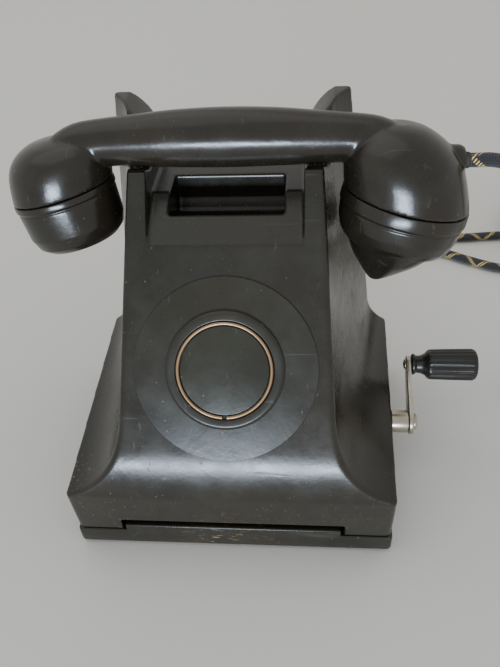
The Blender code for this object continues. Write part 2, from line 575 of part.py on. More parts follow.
def build_magneto():
    """Hand generator: horseshoe magnets over pole pieces, armature, end plates, gear pair, crank."""
    x0, x1 = MAGNETO_X
    foot = PLATE_Z[1] + GAP
    for name, low, high in (("magneto_plate_left", x0, x0 + 2.0), ("magneto_plate_right", x1 - 2.0, x1)):
        plate = box(name, (low, -17.0, foot), (high, ARMATURE_Y + 17.0, 47.0), BRASS)
        bores = [guide(name + "_armature_bore",
                       rod_bm(2.3, low - 2, high + 2, 14, x_axis(ARMATURE_Y, CRANK_Z)))]
        if low > 0:
            bores.append(guide(name + "_crank_bore",
                               rod_bm(CRANK_SHAFT_R + 0.3, low - 2, high + 2, 16, x_axis(CRANK_Y, CRANK_Z))))
        cut(plate, *bores)
    bore = guide("pole_bore", rod_bm(9.6, x0, x1, 28, x_axis(ARMATURE_Y, CRANK_Z)))
    for name, side in (("pole_piece_front", -1), ("pole_piece_rear", 1)):
        low, high = sorted((ARMATURE_Y + side * 3.0, ARMATURE_Y + side * 13.6))
        pole = box(name, (x0 + 2.3, low, foot), (x1 - 2.3, high, 43.0), IRON)
        cut(pole, bore)
    for i, x in enumerate((5.0, 30.0)):
        outer, inner = 21.6, 14.0
        top = 45.0
        outline = arc(ARMATURE_Y, top, outer, 0.0, pi, 12) + [(ARMATURE_Y - outer, 16.0),
            (ARMATURE_Y - inner, 16.0)]
        outline += arc(ARMATURE_Y, top, inner, pi, 0.0, 12) + [(ARMATURE_Y + inner, 16.0),
            (ARMATURE_Y + outer, 16.0)]
        add(f"magnet_{i + 1}", prism_bm(outline, "YZ", (x, x + 17.0)), IRON)
    # armature
    axis = x_axis(ARMATURE_Y, CRANK_Z)
    core = [(0.0, x0 - 2.0), (2.0, x0 - 2.0), (2.0, x0 + 3.4), (8.9, x0 + 3.4), (8.9, x0 + 8.0),
            (7.6, x0 + 8.0), (7.6, x1 - 8.0),
            (8.9, x1 - 8.0), (8.9, x1 - 3.4), (2.0, x1 - 3.4), (2.0, GEAR_X[1] + 1.0), (0.0, GEAR_X[1] + 1.0)]
    armature = lathe("armature", core, COPPER, 20, axis)
    # the pinion's tooth gap faces the gear's tooth
    pinion = add("drive_pinion", gear_bm(PINION_TEETH, GEAR_X,
                                         x_axis(ARMATURE_Y, CRANK_Z, pi + pi / PINION_TEETH), 2.3), STEEL)
    hang(pivot("armature_axis", (0.0, ARMATURE_Y, CRANK_Z)), armature, pinion)
    # crank shaft, gear, arm
    shaft = rod("crank_shaft", CRANK_SHAFT_R, x1 - 4.0, ARM_X[1] + 0.9, STEEL, 18, x_axis(CRANK_Y, CRANK_Z))
    gear = add("drive_gear", gear_bm(GEAR_TEETH, GEAR_X, x_axis(CRANK_Y, CRANK_Z, 0.0),
                                     CRANK_SHAFT_R + 0.3), BRASS)
    skin = side_x(CRANK_Y, CRANK_Z)
    bush = [(CRANK_SHAFT_R + 0.35, skin - 7.0), (BUSH_R - 1.4, skin - 7.0), (BUSH_R - 1.4, skin + GAP),
            (BUSH_R, skin + 0.7),
            (BUSH_R, BUSH_OUT_X - 0.5), (BUSH_R - 0.5, BUSH_OUT_X), (CRANK_SHAFT_R + 0.35, BUSH_OUT_X)]
    lathe("crank_bush", bush, NICKEL, 28, x_axis(CRANK_Y, CRANK_Z))
    crank_pivot = pivot("crank_axis", (ARM_X[0], CRANK_Y, CRANK_Z))
    grip_y = CRANK_Y + ARM_LENGTH * cos(ARM_ANGLE)
    grip_z = CRANK_Z + ARM_LENGTH * sin(ARM_ANGLE)
    big, small = 7.5, 5.0
    outline = arc(0.0, 0.0, big, pi / 2 + 0.07, 3 * pi / 2 - 0.07, 10) + arc(ARM_LENGTH, 0.0, small,
        -pi / 2, pi / 2, 8)
    arm_bm = bmesh.new()
    near = [arm_bm.verts.new((0.0, a, b)) for a, b in outline]
    far = [arm_bm.verts.new((ARM_X[1] - ARM_X[0], a, b)) for a, b in outline]
    arm_bm.faces.new(near)
    arm_bm.faces.new(far)
    for i in range(len(outline)):
        j = (i + 1) % len(outline)
        arm_bm.faces.new((near[i], near[j], far[j], far[i]))
    arm_bm.transform(Matrix.Translation((ARM_X[0], CRANK_Y, CRANK_Z)) @ Matrix.Rotation(ARM_ANGLE, 4, "X"))
    arm = add("crank_arm", arm_bm, NICKEL)
    arm_bores = [guide("arm_shaft_bore", rod_bm(CRANK_SHAFT_R + 0.3, 90.0, 110.0, 18,
                                                x_axis(CRANK_Y, CRANK_Z))),
                 guide("arm_spindle_bore", rod_bm(1.8, 90.0, 110.0, 12, x_axis(grip_y, grip_z)))]
    nut = [(CRANK_SHAFT_R + 0.3, ARM_X[1] + GAP), (5.0, ARM_X[1] + GAP), (5.0, ARM_X[1] + 1.2),
           (4.0, ARM_X[1] + 2.2),
           (0.0, ARM_X[1] + 2.6), (0.0, ARM_X[1] + 1.2), (CRANK_SHAFT_R + 0.3, ARM_X[1] + 1.2)]
    nut_obj = lathe("crank_cap_nut", nut, NICKEL, 18, x_axis(CRANK_Y, CRANK_Z))
    spindle_axis = x_axis(grip_y, grip_z)
    g0, g1 = GRIP_X
    spindle = [(0.0, ARM_X[0] - 1.8), (2.6, ARM_X[0] - 1.2), (3.0, ARM_X[0] - 0.6), (3.0, ARM_X[0] - GAP),
               (1.5, ARM_X[0] - GAP),
               (1.5, g1 - 4.0), (2.6, g1 - 4.0), (2.6, g1 - 2.4), (0.0, g1 - 2.4)]
    spindle_obj = lathe("grip_spindle", spindle, NICKEL, 14, spindle_axis)
    hang(crank_pivot, shaft, gear, arm, nut_obj, spindle_obj)
    cut(arm, *arm_bores)
    # grip: waisted neck, fluted barrel
    bm = bmesh.new()
    flutes = 20
    sections = [(g0, 5.6, 0), (g0 + 1.2, 6.4, 0), (g0 + 3.0, 5.2, 0), (g0 + 5.5, 5.4, 0),
                (g0 + 8.0, 6.6, 0), (g0 + 9.6, 8.6, 0),
                (g0 + 10.4, 8.9, 1), (g1 - 2.4, 9.5, 1), (g1 - 1.6, 9.3, 0), (g1 - 0.6, 8.6, 0), (g1, 7.4, 0)]
    rows = []
    for x, r, fluted in sections:
        row = []
        for i in range(flutes * 2):
            a = pi * i / flutes
            radius = r - (0.55 if fluted and i % 2 else 0.0)
            row.append(bm.verts.new((x, radius * cos(a), radius * sin(a))))
        rows.append(row)
    hole_rows = []
    for x, r in ((g0, 1.85), (g1 - 5.0, 1.85), (g1 - 5.0, 3.0), (g1, 3.0)):
        hole_rows.append([bm.verts.new((x, r * cos(pi * i / flutes),
                                        r * sin(pi * i / flutes))) for i in range(flutes * 2)])
    chain = rows + hole_rows[::-1]
    for low, high in zip(chain, chain[1:] + chain[:1]):
        for i in range(flutes * 2):
            j = (i + 1) % (flutes * 2)
            bm.faces.new((low[i], low[j], high[j], high[i]))
    bm.transform(Matrix.Translation((0.0, grip_y, grip_z)))
    grip = add("crank_grip", bm, BAKELITE_DARK)
    hang(pivot("grip_axis", (g0, grip_y, grip_z)), grip)


# ---------------------------------------------------------------- ringer and small works
def build_ringer():
    """Polarised bell: two gongs, two coils on a yoke, a rocking armature with the clapper."""
    foot = PLATE_Z[1] + GAP
    for name, y in (("front", GONG_Y[0]), ("rear", GONG_Y[1])):
        at = Matrix.Translation((GONG_X, y, 0.0))
        dome = [(2.4, 43.0), (9.0, 42.4), (14.5, 40.2), (GONG_R - 0.6, 35.0), (GONG_R, 30.5),
                (GONG_R - 1.4, 30.5), (GONG_R - 2.0, 34.4),
                (13.6, 38.9), (8.6, 40.9), (2.4, 41.4)]
        lathe("gong_" + name, dome, BRASS, 28, at)
        post = [(0.0, foot), (5.0, foot), (5.0, foot + 1.2), (3.2, foot + 1.2), (3.2, 41.0), (2.1, 41.1),
                (2.1, 45.4), (0.0, 45.4)]
        lathe("gong_post_" + name, post, STEEL, 14, at)
    box("ringer_yoke", (-10.0, RINGER_Y - 17.0, foot), (-7.0, RINGER_Y + 17.0, 42.0), IRON)
    for name, side in (("front", -1), ("rear", 1)):
        frame = x_axis(RINGER_Y + side * 9.5, 34.0)
        coil = [(0.0, -10.3), (7.6, -10.3), (7.6, -12.0), (6.8, -12.0), (6.8, -30.5), (7.6, -30.5),
                (7.6, -32.0), (3.0, -32.0),
                (3.0, -33.6), (0.0, -33.6)]
        lathe("ringer_coil_" + name, coil, COPPER, 18, frame)
    bracket = box_bm((RINGER_PIVOT_X - 4.0, RINGER_Y - 3.0, foot),
                     (RINGER_PIVOT_X + 1.0, RINGER_Y + 3.0, 26.0), 0.3)
    add("ringer_bracket", bracket, STEEL)
    bar = add("clapper", box_bm((-36.8, RINGER_Y - 16.0, 30.0), (-34.6, RINGER_Y + 16.0, 38.0), 0.4), STEEL)
    stem = guide("clapper_stem", rod_bm(1.1, -56.5, -36.0, 10, x_axis(RINGER_Y, 34.0)))
    ball_at = Matrix.Translation((-57.6, RINGER_Y, 34.0))
    ball_pts = [(0.0, -3.4)] + [(3.4 * cos(a), 3.4 * sin(a)) for a in (-pi / 3, -pi / 6, 0.0, pi / 6,
        pi / 3)] + [(0.0, 3.4)]
    ball = guide("clapper_ball", lathe_bm(ball_pts, 14, ball_at))
    pin = guide("clapper_pin", rod_bm(1.4, 26.4, 31.0, 10, Matrix.Translation((-35.7, RINGER_Y, 0.0))))
    join(bar, stem, ball, pin)
    axis = pivot("clapper_axis", (-35.7, RINGER_Y, 34.0))
    hang(axis, bar)


def build_works():
    """Speech coil, capacitor, terminal block and the cord glands."""
    foot = PLATE_Z[1] + GAP
    coil = [(0.0, 16.0), (9.0, 16.0), (9.0, 18.5), (7.6, 18.5), (7.6, 57.5), (9.0, 57.5), (9.0, 60.0),
            (0.0, 60.0)]
    lathe("induction_coil", coil, COPPER, 20, x_axis(51.0, foot + 9.2))
    box("capacitor", (-40.0, 47.0, foot), (-16.0, 61.0, 44.0), STEEL, 1.2)
    block = box_bm((-30.0, -56.0, foot), (30.0, -44.0, foot + 10.0), 0.8)
    add("terminal_block", block, FIBRE)
    for name, x in GLANDS.items():
        skin = REAR_Y
        gland = [(3.8, -WALL - 2.0), (4.9, -WALL - 2.0), (4.9, GAP), (7.2, GAP), (7.2, 1.6), (6.0, 3.4),
                 (3.8, 3.6)]
        lathe(name, gland, RUBBER, 20, axis_frame((x, skin, GLAND_Z), (0.0, 1.0, 0.0)))


# ---------------------------------------------------------------- handset
def handset_frame():
    """The handset's own frame: origin at the handle's middle, pitched so the caps hang forward."""
    return Matrix.Translation((0.0, HANDLE_Y, HANDLE_Z)) @ Matrix.Rotation(HANDSET_PITCH, 4, "X")


def cap_frame(side, at):
    """Local Z points out of the cap, downwards and leaning to the middle."""
    x, z = at
    direction = Vector((-side * sin(CAP_LEAN), 0.0, -cos(CAP_LEAN)))
    frame = axis_frame((x, 0.0, z), direction, up=(0.0, 1.0, 0.0))
    return handset_frame() @ frame


EAR_SEAT = (-86.0, -24.8)      # x, z of the ear shell's rim centre in the handset frame
MOUTH_SEAT = (89.4, -31.2)
EAR_R = 26.8
MOUTH_R = 32.0
# each shell level: height over the rim, shift inwards, half width, half depth, share of the rim's lean
EAR_SHELL = ((0.0, 0.0, 26.8, 26.8, 1.0), (6.0, 0.0, 26.7, 26.7, 0.85), (12.0, 0.0, 26.0, 26.2, 0.65),
             (17.0, 0.5, 24.4, 24.8, 0.5),
             (21.0, 1.2, 21.0, 21.6, 0.35), (24.4, 2.0, 15.4, 16.0, 0.25), (26.4, 2.4, 7.0, 8.0, 0.2))
MOUTH_SHELL = ((0.0, 0.0, 32.0, 32.0, 1.0), (6.0, 0.6, 31.4, 31.6, 0.85), (13.0, 1.5, 30.4, 31.0, 0.7),
               (20.0, 2.5, 28.4, 29.2, 0.5),
               (26.0, 4.0, 24.6, 25.6, 0.35), (31.0, 5.0, 19.0, 20.0, 0.25), (34.8, 5.4, 12.0, 13.0, 0.2),
               (36.4, 5.4, 5.0, 6.0, 0.2))


def shell_bm(side, seat, levels, inset):
    """One end's shell, or its hollow when inset: rings that tilt from level at the top to the leaning rim."""
    count = 32
    rings = []
    for height, shift, half_x, half_y, share in levels:
        tilt = -side * CAP_LEAN * share
        drop = min(inset, height) if inset else 0.0
        z = seat[1] + height - drop - (1.0 if inset and height == 0.0 else 0.0)
        ring = []
        for i in range(count):
            a = 2 * pi * i / count
            out = (half_x - inset) * cos(a)
            ring.append((seat[0] - side * shift + out * cos(tilt), (half_y - inset) * sin(a),
                         z - out * sin(-tilt)))
        rings.append(ring)
    bm = loft_bm(rings)
    bm.transform(handset_frame())
    return bm


def build_handset():
    """Handle with two shells, two screwed caps, two capsules and the cord's boss."""
    frame = handset_frame()
    # handle stations from elbow to elbow: centre x, centre z, tangent angle, half depth, half thickness
    half = [(85.5, -17.0, 66.0, 14.0, 13.2), (83.0, -11.6, 56.0, 13.6, 13.2), (79.5, -7.4, 44.0, 12.8, 12.6),
            (72.0, -3.2, 20.0, 11.8, 12.0), (61.0, -1.4, 6.0, 11.7, 11.7), (45.0, -0.8, 1.5, 12.6, 12.6),
            (25.0, -0.2, 0.5, 13.8, 13.8)]
    stations = [(-x, z, a, ry, rz) for x, z, a, ry, rz in half] + [(0.0, 0.0, 0.0, 14.4, 14.4)]
    stations += [(x, z, -a, ry, rz) for x, z, a, ry, rz in reversed(half)]
    rings = []
    count = 20
    for x, z, angle, ry, rz in stations:
        lean = radians(angle)
        ring = []
        for i in range(count):
            side, lift = ry * cos(2 * pi * i / count), rz * sin(2 * pi * i / count)
            ring.append((x - lift * sin(lean), side, z + lift * cos(lean)))
        rings.append(ring)
    handle_bm = loft_bm(rings)
    handle_bm.transform(frame)
    handset = add("handset_body", handle_bm, BAKELITE)
    shells, hollows = [], []
    for name, side, seat, levels in (("ear", -1, EAR_SEAT, EAR_SHELL), ("mouth", 1, MOUTH_SEAT, MOUTH_SHELL)):
        shells.append(guide(name + "_shell", shell_bm(side, seat, levels, 0.0)))
        hollows.append(guide(name + "_hollow", shell_bm(side, seat, levels[:-1], 5.0)))
    boss_dir = frame.to_3x3() @ Vector(BOSS_DIR)
    boss_base = frame @ Vector(BOSS_AT)
    boss = guide("cord_boss", lathe_bm([(0.0, -14.0), (8.0, -14.0), (7.6, 1.6), (6.2, 4.0), (0.0, 4.0)], 18,
                                       axis_frame(boss_base, boss_dir)))
    join(handset, *shells, boss)
    cut(handset, *hollows)
    relief_hole = guide("relief_hole", rod_bm(4.4, -3.0, 9.0, 16, axis_frame(boss_base, boss_dir)))
    cut(handset, relief_hole)
    relief = [(0.0, -2.6), (4.0, -2.6), (4.0, 9.2), (3.4, 10.4), (0.0, 10.4)]
    relief_obj = lathe("cord_relief", relief, RUBBER, 16, axis_frame(boss_base, boss_dir))
    pieces = [handset, relief_obj]
    # caps
    ear = cap_frame(-1, EAR_SEAT)
    r = EAR_R
    ear_cap = [(r + 0.2, GAP), (r + 0.2, 3.4), (r - 0.8, 4.2), (r - 0.5, 5.4), (r - 1.2, 19.0),
               (r - 3.4, 25.0), (r - 7.0, 28.0),
               (3.0, 26.0), (3.0, 23.6), (r - 7.6, 25.4), (r - 5.6, 22.8), (r - 4.0, 18.0), (r - 3.4, GAP)]
    pieces.append(lathe("earpiece_cap", ear_cap, BAKELITE, 36, ear))
    receiver = [(0.0, -7.0), (r - 9.0, -7.0), (r - 6.6, -2.0), (r - 6.0, 4.0), (r - 6.0, 13.0),
                (r - 7.6, 17.0), (0.0, 17.0)]
    pieces.append(lathe("receiver_capsule", receiver, NICKEL, 24, ear))
    mouth = cap_frame(1, MOUTH_SEAT)
    r = MOUTH_R
    mouth_cap = [(r + 0.2, GAP), (r + 0.4, 6.6), (r - 0.8, 7.6), (r - 0.4, 8.8), (r - 1.2, 15.0),
                 (r - 3.0, 20.0), (r - 5.4, 23.4),
                 (6.0, 23.4), (6.0, 21.0), (r - 6.8, 21.0), (r - 5.0, 18.6), (r - 4.0, 13.0), (r - 3.4, GAP)]
    cap_obj = lathe("mouthpiece_cap", mouth_cap, BAKELITE, 36, mouth)
    # pointed hood on the mouthpiece: a scoop that opens towards the lips
    hood = [(18.0, (22.0, 22.0), 16.0), (22.5, (23.6, 24.0), 16.0), (31.0, (19.0, 19.0), 17.5),
            (39.0, (11.0, 11.5), 18.5), (46.5, (3.0, 3.5), 19.5)]
    rings = []
    hood_count = 16
    for z, (ra, rb), shift in hood:
        rings.append([(shift - 16.0 + rb * cos(2 * pi * i / hood_count), ra * sin(2 * pi * i / hood_count), z)
                      for i in range(hood_count)])
    hood_bm = loft_bm(rings)
    hood_turn = Matrix.Rotation(HOOD_TURN, 4, "Z")
    hood_bm.transform(mouth @ hood_turn)
    hood_obj = guide("mouth_hood", hood_bm)
    join(cap_obj, hood_obj)
    pieces.append(cap_obj)
    transmitter = [(0.0, -10.0), (r - 16.0, -10.0), (r - 9.0, -5.0), (r - 6.4, 1.0), (r - 6.4, 10.0),
                   (r - 8.0, 13.6), (0.0, 13.6)]
    pieces.append(lathe("transmitter_capsule", transmitter, NICKEL, 24, mouth))
    hang(pivot("handset_axis", (0.0, HANDLE_Y, HANDLE_Z)), *pieces)


BOSS_AT = (112.0, 0.0, -13.4)
BOSS_DIR = (1.0, 0.0, 0.0)
HOOD_TURN = radians(-15.0)


# ---------------------------------------------------------------- cords
# hand-chosen points in mm that each cord's centre line passes through
HANDSET_ROUTE = ((123.2, 31.4, 179.4), (130.0, 31.5, 179.2), (138.5, 32.4, 176.2), (146.5, 33.5, 168.6),
                 (154.5, 35.0, 157.0),
                 (161.0, 36.5, 140.0), (165.5, 38.0, 115.0), (168.5, 40.0, 85.0), (171.0, 43.0, 52.0),
                 (176.0, 49.0, 24.0),
                 (188.0, 57.0, 8.5), (212.0, 63.0, 4.1), (250.0, 72.0, 3.8), (282.0, 92.0, 3.8),
                 (295.0, 122.0, 3.8),
                 (286.0, 148.0, 3.8), (262.0, 168.0, 3.8), (230.0, 180.0, 3.8), (194.0, 184.0, 3.8),
                 (172.0, 194.0, 3.8), (150.0, 206.0, 3.8),
                 (124.0, 212.0, 3.8), (98.0, 206.0, 3.8), (76.0, 188.0, 3.8), (60.0, 160.0, 3.8),
                 (50.0, 132.0, 5.2),
                 (45.5, 110.0, 12.0), (44.0, 94.0, 21.5), (44.0, 84.0, 25.6), (44.0, 77.5, 26.0))
LINE_ROUTE = ((18.0, 77.5, 26.0), (18.0, 84.0, 25.6), (18.2, 94.0, 21.5), (19.5, 110.0, 12.0),
              (23.0, 132.0, 5.2),
              (30.0, 156.0, 3.8), (44.0, 184.0, 3.8), (66.0, 208.0, 3.8), (96.0, 224.0, 3.8),
              (130.0, 229.0, 3.8),
              (164.0, 228.0, 3.8), (190.0, 230.0, 3.8), (210.3, 236.0, 3.8))
COIL_AT = (254.0, 240.0)
COIL_R = (27.4, 42.2)
COIL_Z = (0.3, 21.8)


def smooth_route(route, step):
    """Points about step apart on one smooth curve through the route."""
    points = [Vector(p) for p in route]
    ends = [points[0] * 2 - points[1]] + points + [points[-1] * 2 - points[-2]]
    fine = []
    for i in range(1, len(ends) - 2):
        a, b, c, d = ends[i - 1:i + 3]
        fine += interpolate_bezier(b, b + (c - a) / 6, c - (d - b) / 6, c, 24)[:-1]
    fine.append(points[-1])
    length = sum((q - p).length for p, q in zip(fine, fine[1:]))
    count = max(2, round(length / step))
    picked, run, target = [fine[0]], 0.0, length / count
    for p, q in zip(fine, fine[1:]):
        span = (q - p).length
        while run + span >= target - 1e-9 and len(picked) < count:
            picked.append(p.lerp(q, (target - run) / span))
            target += length / count
        run += span
    picked.append(fine[-1])
    return picked, length


def cord(name, route, mat, step=16.0):
    """Round cord along a route."""
    points, length = smooth_route(route, step)
    curve = bpy.data.curves.new(name, "CURVE")
    curve.dimensions = "3D"
    curve.bevel_depth = CORD_D / 2 * MM
    curve.bevel_resolution = 2
    curve.use_fill_caps = True
    spline = curve.splines.new("POLY")
    spline.points.add(len(points) - 1)
    for slot, point in zip(spline.points, points):
        slot.co = (*(point * MM), 1.0)
    curve.materials.append(mat)
    obj = bpy.data.objects.new(name, curve)
    bpy.context.scene.collection.objects.link(obj)
    print(name, "centre line", round(length), "mm,", len(points), "points")


def build_cords():
    """Handset cord, line cord, the line cord's stored coil and its plug."""
    cord("handset_cord", HANDSET_ROUTE, TEXTILE)
    cord("line_cord", LINE_ROUTE, TEXTILE)
    (r0, r1), (z0, z1) = COIL_R, COIL_Z
    c = 3.0
    ring = [(r0, z0 + c), (r0 + c, z0), (r1 - c, z0), (r1, z0 + c), (r1, z1 - c), (r1 - c, z1),
            (r0 + c, z1), (r0, z1 - c)]
    lathe("line_cord_coil", ring, TEXTILE, 36, Matrix.Translation((*COIL_AT, 0.0)))
    plug = [(0.0, 0.0), (3.6, 0.0), (4.4, 6.0), (7.0, 9.0), (7.4, 26.0), (6.6, 28.0), (3.2, 28.0),
            (3.2, 38.0), (0.0, 40.0)]
    lathe("line_plug", plug, BAKELITE_DARK, 20, axis_frame((COIL_AT[0] + 39.0, 209.0, 7.7), (0.0, -1.0, 0.0)))


build_case()
build_plinth()
build_chassis()
build_dial()
build_switch()
build_magneto()
build_ringer()
build_works()
build_handset()
build_cords()
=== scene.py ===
# %% [markdown]
# # A magneto desk telephone
# The set is a moulded Bakelite case with a blank where a dial would be, a handset across its
# cradle, and a crank that turns a small generator. The engineering model is already packed,
# so this lesson only dresses it: every piece here takes its place from that model, in metres.

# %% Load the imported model
import bmesh
import bpy
import json
from math import acos, cos, pi, radians, sin, sqrt, tan
from mathutils import Matrix, Vector
from mathutils.geometry import interpolate_bezier


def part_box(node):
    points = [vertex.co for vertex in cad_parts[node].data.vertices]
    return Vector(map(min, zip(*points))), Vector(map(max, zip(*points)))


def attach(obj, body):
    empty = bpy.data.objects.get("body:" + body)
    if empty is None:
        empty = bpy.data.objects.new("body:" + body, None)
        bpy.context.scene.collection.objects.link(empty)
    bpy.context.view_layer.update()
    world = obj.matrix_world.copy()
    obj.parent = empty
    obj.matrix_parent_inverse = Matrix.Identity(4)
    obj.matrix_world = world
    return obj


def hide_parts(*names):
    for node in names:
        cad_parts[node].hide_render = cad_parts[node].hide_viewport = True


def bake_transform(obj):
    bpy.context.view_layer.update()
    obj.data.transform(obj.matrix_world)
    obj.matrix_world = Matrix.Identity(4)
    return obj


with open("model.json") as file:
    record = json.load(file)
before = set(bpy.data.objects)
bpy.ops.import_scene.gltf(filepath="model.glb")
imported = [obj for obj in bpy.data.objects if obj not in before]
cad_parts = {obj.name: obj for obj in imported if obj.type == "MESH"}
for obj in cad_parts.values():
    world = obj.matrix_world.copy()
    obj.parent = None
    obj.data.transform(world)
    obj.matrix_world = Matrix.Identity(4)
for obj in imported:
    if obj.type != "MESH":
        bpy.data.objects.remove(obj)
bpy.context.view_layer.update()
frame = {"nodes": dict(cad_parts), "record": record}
MM = 0.001
MERGE = 1e-4

# %% [markdown]
# ## Camera
# The viewer stands over the table and looks down on the set, a little from its right. The
# camera is placed from three angles: its turn, how far it looks down, and a small roll, as
# from a hand-held camera. Building the matrix from its three axes keeps the roll exact.

# %% Camera
TURN, LOOK_DOWN, ROLL = 0.1197, 0.7214, -0.0742
VIEW_FROM = (0.0427, -0.2794, 0.3418)
forward = Vector((-sin(TURN) * cos(LOOK_DOWN), cos(TURN) * cos(LOOK_DOWN), -sin(LOOK_DOWN)))
level = Vector((cos(TURN), sin(TURN), 0.0))
upright = level.cross(forward)
right = cos(ROLL) * level + sin(ROLL) * upright
up = cos(ROLL) * upright - sin(ROLL) * level
camera_data = bpy.data.cameras.new("camera")
camera_data.sensor_width = 36.0
camera_data.lens = 37.02
camera_data.clip_start = 0.01
camera = bpy.data.objects.new("camera", camera_data)
view_axes = Matrix((right, up, -forward)).transposed().to_4x4()
camera.matrix_world = Matrix.Translation(VIEW_FROM) @ view_axes
bpy.context.scene.collection.objects.link(camera)
bpy.context.scene.camera = camera

# %% [markdown]
# ## Small tools
# Each piece is drawn in millimetres in a bmesh and finished by one function, which turns it
# into metres, links it and shades it. Round pieces come from one profile that is spun.


# %% Finishing a piece
def finish(name, bm, body, material, replaces=(), sharp=35.0):
    """Merge, point the faces outwards, scale to metres, shade, and ride on a body."""
    bmesh.ops.remove_doubles(bm, verts=bm.verts, dist=MERGE)
    bmesh.ops.recalc_face_normals(bm, faces=bm.faces)
    bmesh.ops.scale(bm, vec=(MM, MM, MM), verts=bm.verts)
    mesh = bpy.data.meshes.new(name)
    bm.to_mesh(mesh)
    bm.free()
    piece = bpy.data.objects.new(name, mesh)
    bpy.context.scene.collection.objects.link(piece)
    mesh.materials.append(material)
    mesh.shade_smooth()
    mesh.set_sharp_from_angle(angle=radians(sharp))
    if body:
        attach(piece, body)
    if replaces:
        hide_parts(*replaces)
    return piece


def axis_frame(origin, direction, up=(0.0, 0.0, 1.0)):
    """A frame whose local +Z runs along a direction."""
    z = Vector(direction).normalized()
    ref = Vector(up) if abs(z.dot(Vector(up))) < 0.95 else Vector((1.0, 0.0, 0.0))
    x = ref.cross(z).normalized()
    return Matrix.Translation(Vector(origin)) @ Matrix((x, z.cross(x), z)).transposed().to_4x4()


# %% Turning a round piece
def rounded(profile, radius):
    """Replace each inner corner of a profile by a short arc-like run of points."""
    points = [Vector((r, 0.0, z)) for r, z in profile]
    out = [points[0]]
    for before, corner, after in zip(points, points[1:], points[2:]):
        reach = min(radius, (corner - before).length * 0.45, (after - corner).length * 0.45)
        start = corner + (before - corner).normalized() * reach
        end = corner + (after - corner).normalized() * reach
        out += [start.lerp(corner, t).lerp(corner.lerp(end, t), t)
                for t in [i / 3 for i in range(4)]]
    out.append(points[-1])
    return out


def turned_bm(profile, place, steps=64, soften=0.4):
    """Spin a profile of (radius, height) about local Z."""
    bm = bmesh.new()
    points = rounded(profile, soften) if soften else [Vector((r, 0.0, z)) for r, z in profile]
    verts = [bm.verts.new(p) for p in points]
    edges = [bm.edges.new(pair) for pair in zip(verts, verts[1:])]
    bmesh.ops.spin(bm, geom=verts + edges, cent=(0, 0, 0), axis=(0, 0, 1), dvec=(0, 0, 0),
                   angle=2 * pi, steps=steps, use_merge=True, use_duplicate=False)
    bmesh.ops.remove_doubles(bm, verts=bm.verts, dist=MERGE)
    bmesh.ops.transform(bm, matrix=place, verts=bm.verts)
    return bm


def turned(name, profile, place, body, material, replaces=(), steps=64, soften=0.4):
    return finish(name, turned_bm(profile, place, steps, soften), body, material, replaces)


def lofted_bm(rings):
    """Bridge rings of equal count; each ring is a list of points."""
    bm = bmesh.new()
    loops = []
    for ring in rings:
        made = [bm.verts.new(p) for p in ring]
        loops.append([bm.edges.new((made[i - 1], made[i])) for i in range(len(made))])
    for low, high in zip(loops, loops[1:]):
        bmesh.ops.bridge_loops(bm, edges=low + high)
    bmesh.ops.edgenet_fill(bm, edges=loops[0])
    bmesh.ops.edgenet_fill(bm, edges=loops[-1])
    return bm


def full_turn(count):
    return [2 * pi * i / count for i in range(count)]


def place_x(y, z):
    """Local Z along +X."""
    axes = Matrix(((0, 0, 1, 0), (1, 0, 0, 0), (0, 1, 0, 0), (0, 0, 0, 1)))
    return Matrix.Translation((0.0, y, z)) @ axes


# %% [markdown]
# ## Materials
# Every finish is worked out by nodes in object coordinates, so a speck of dust keeps its size
# on every piece. A small helper wires the nodes, to keep each recipe short.


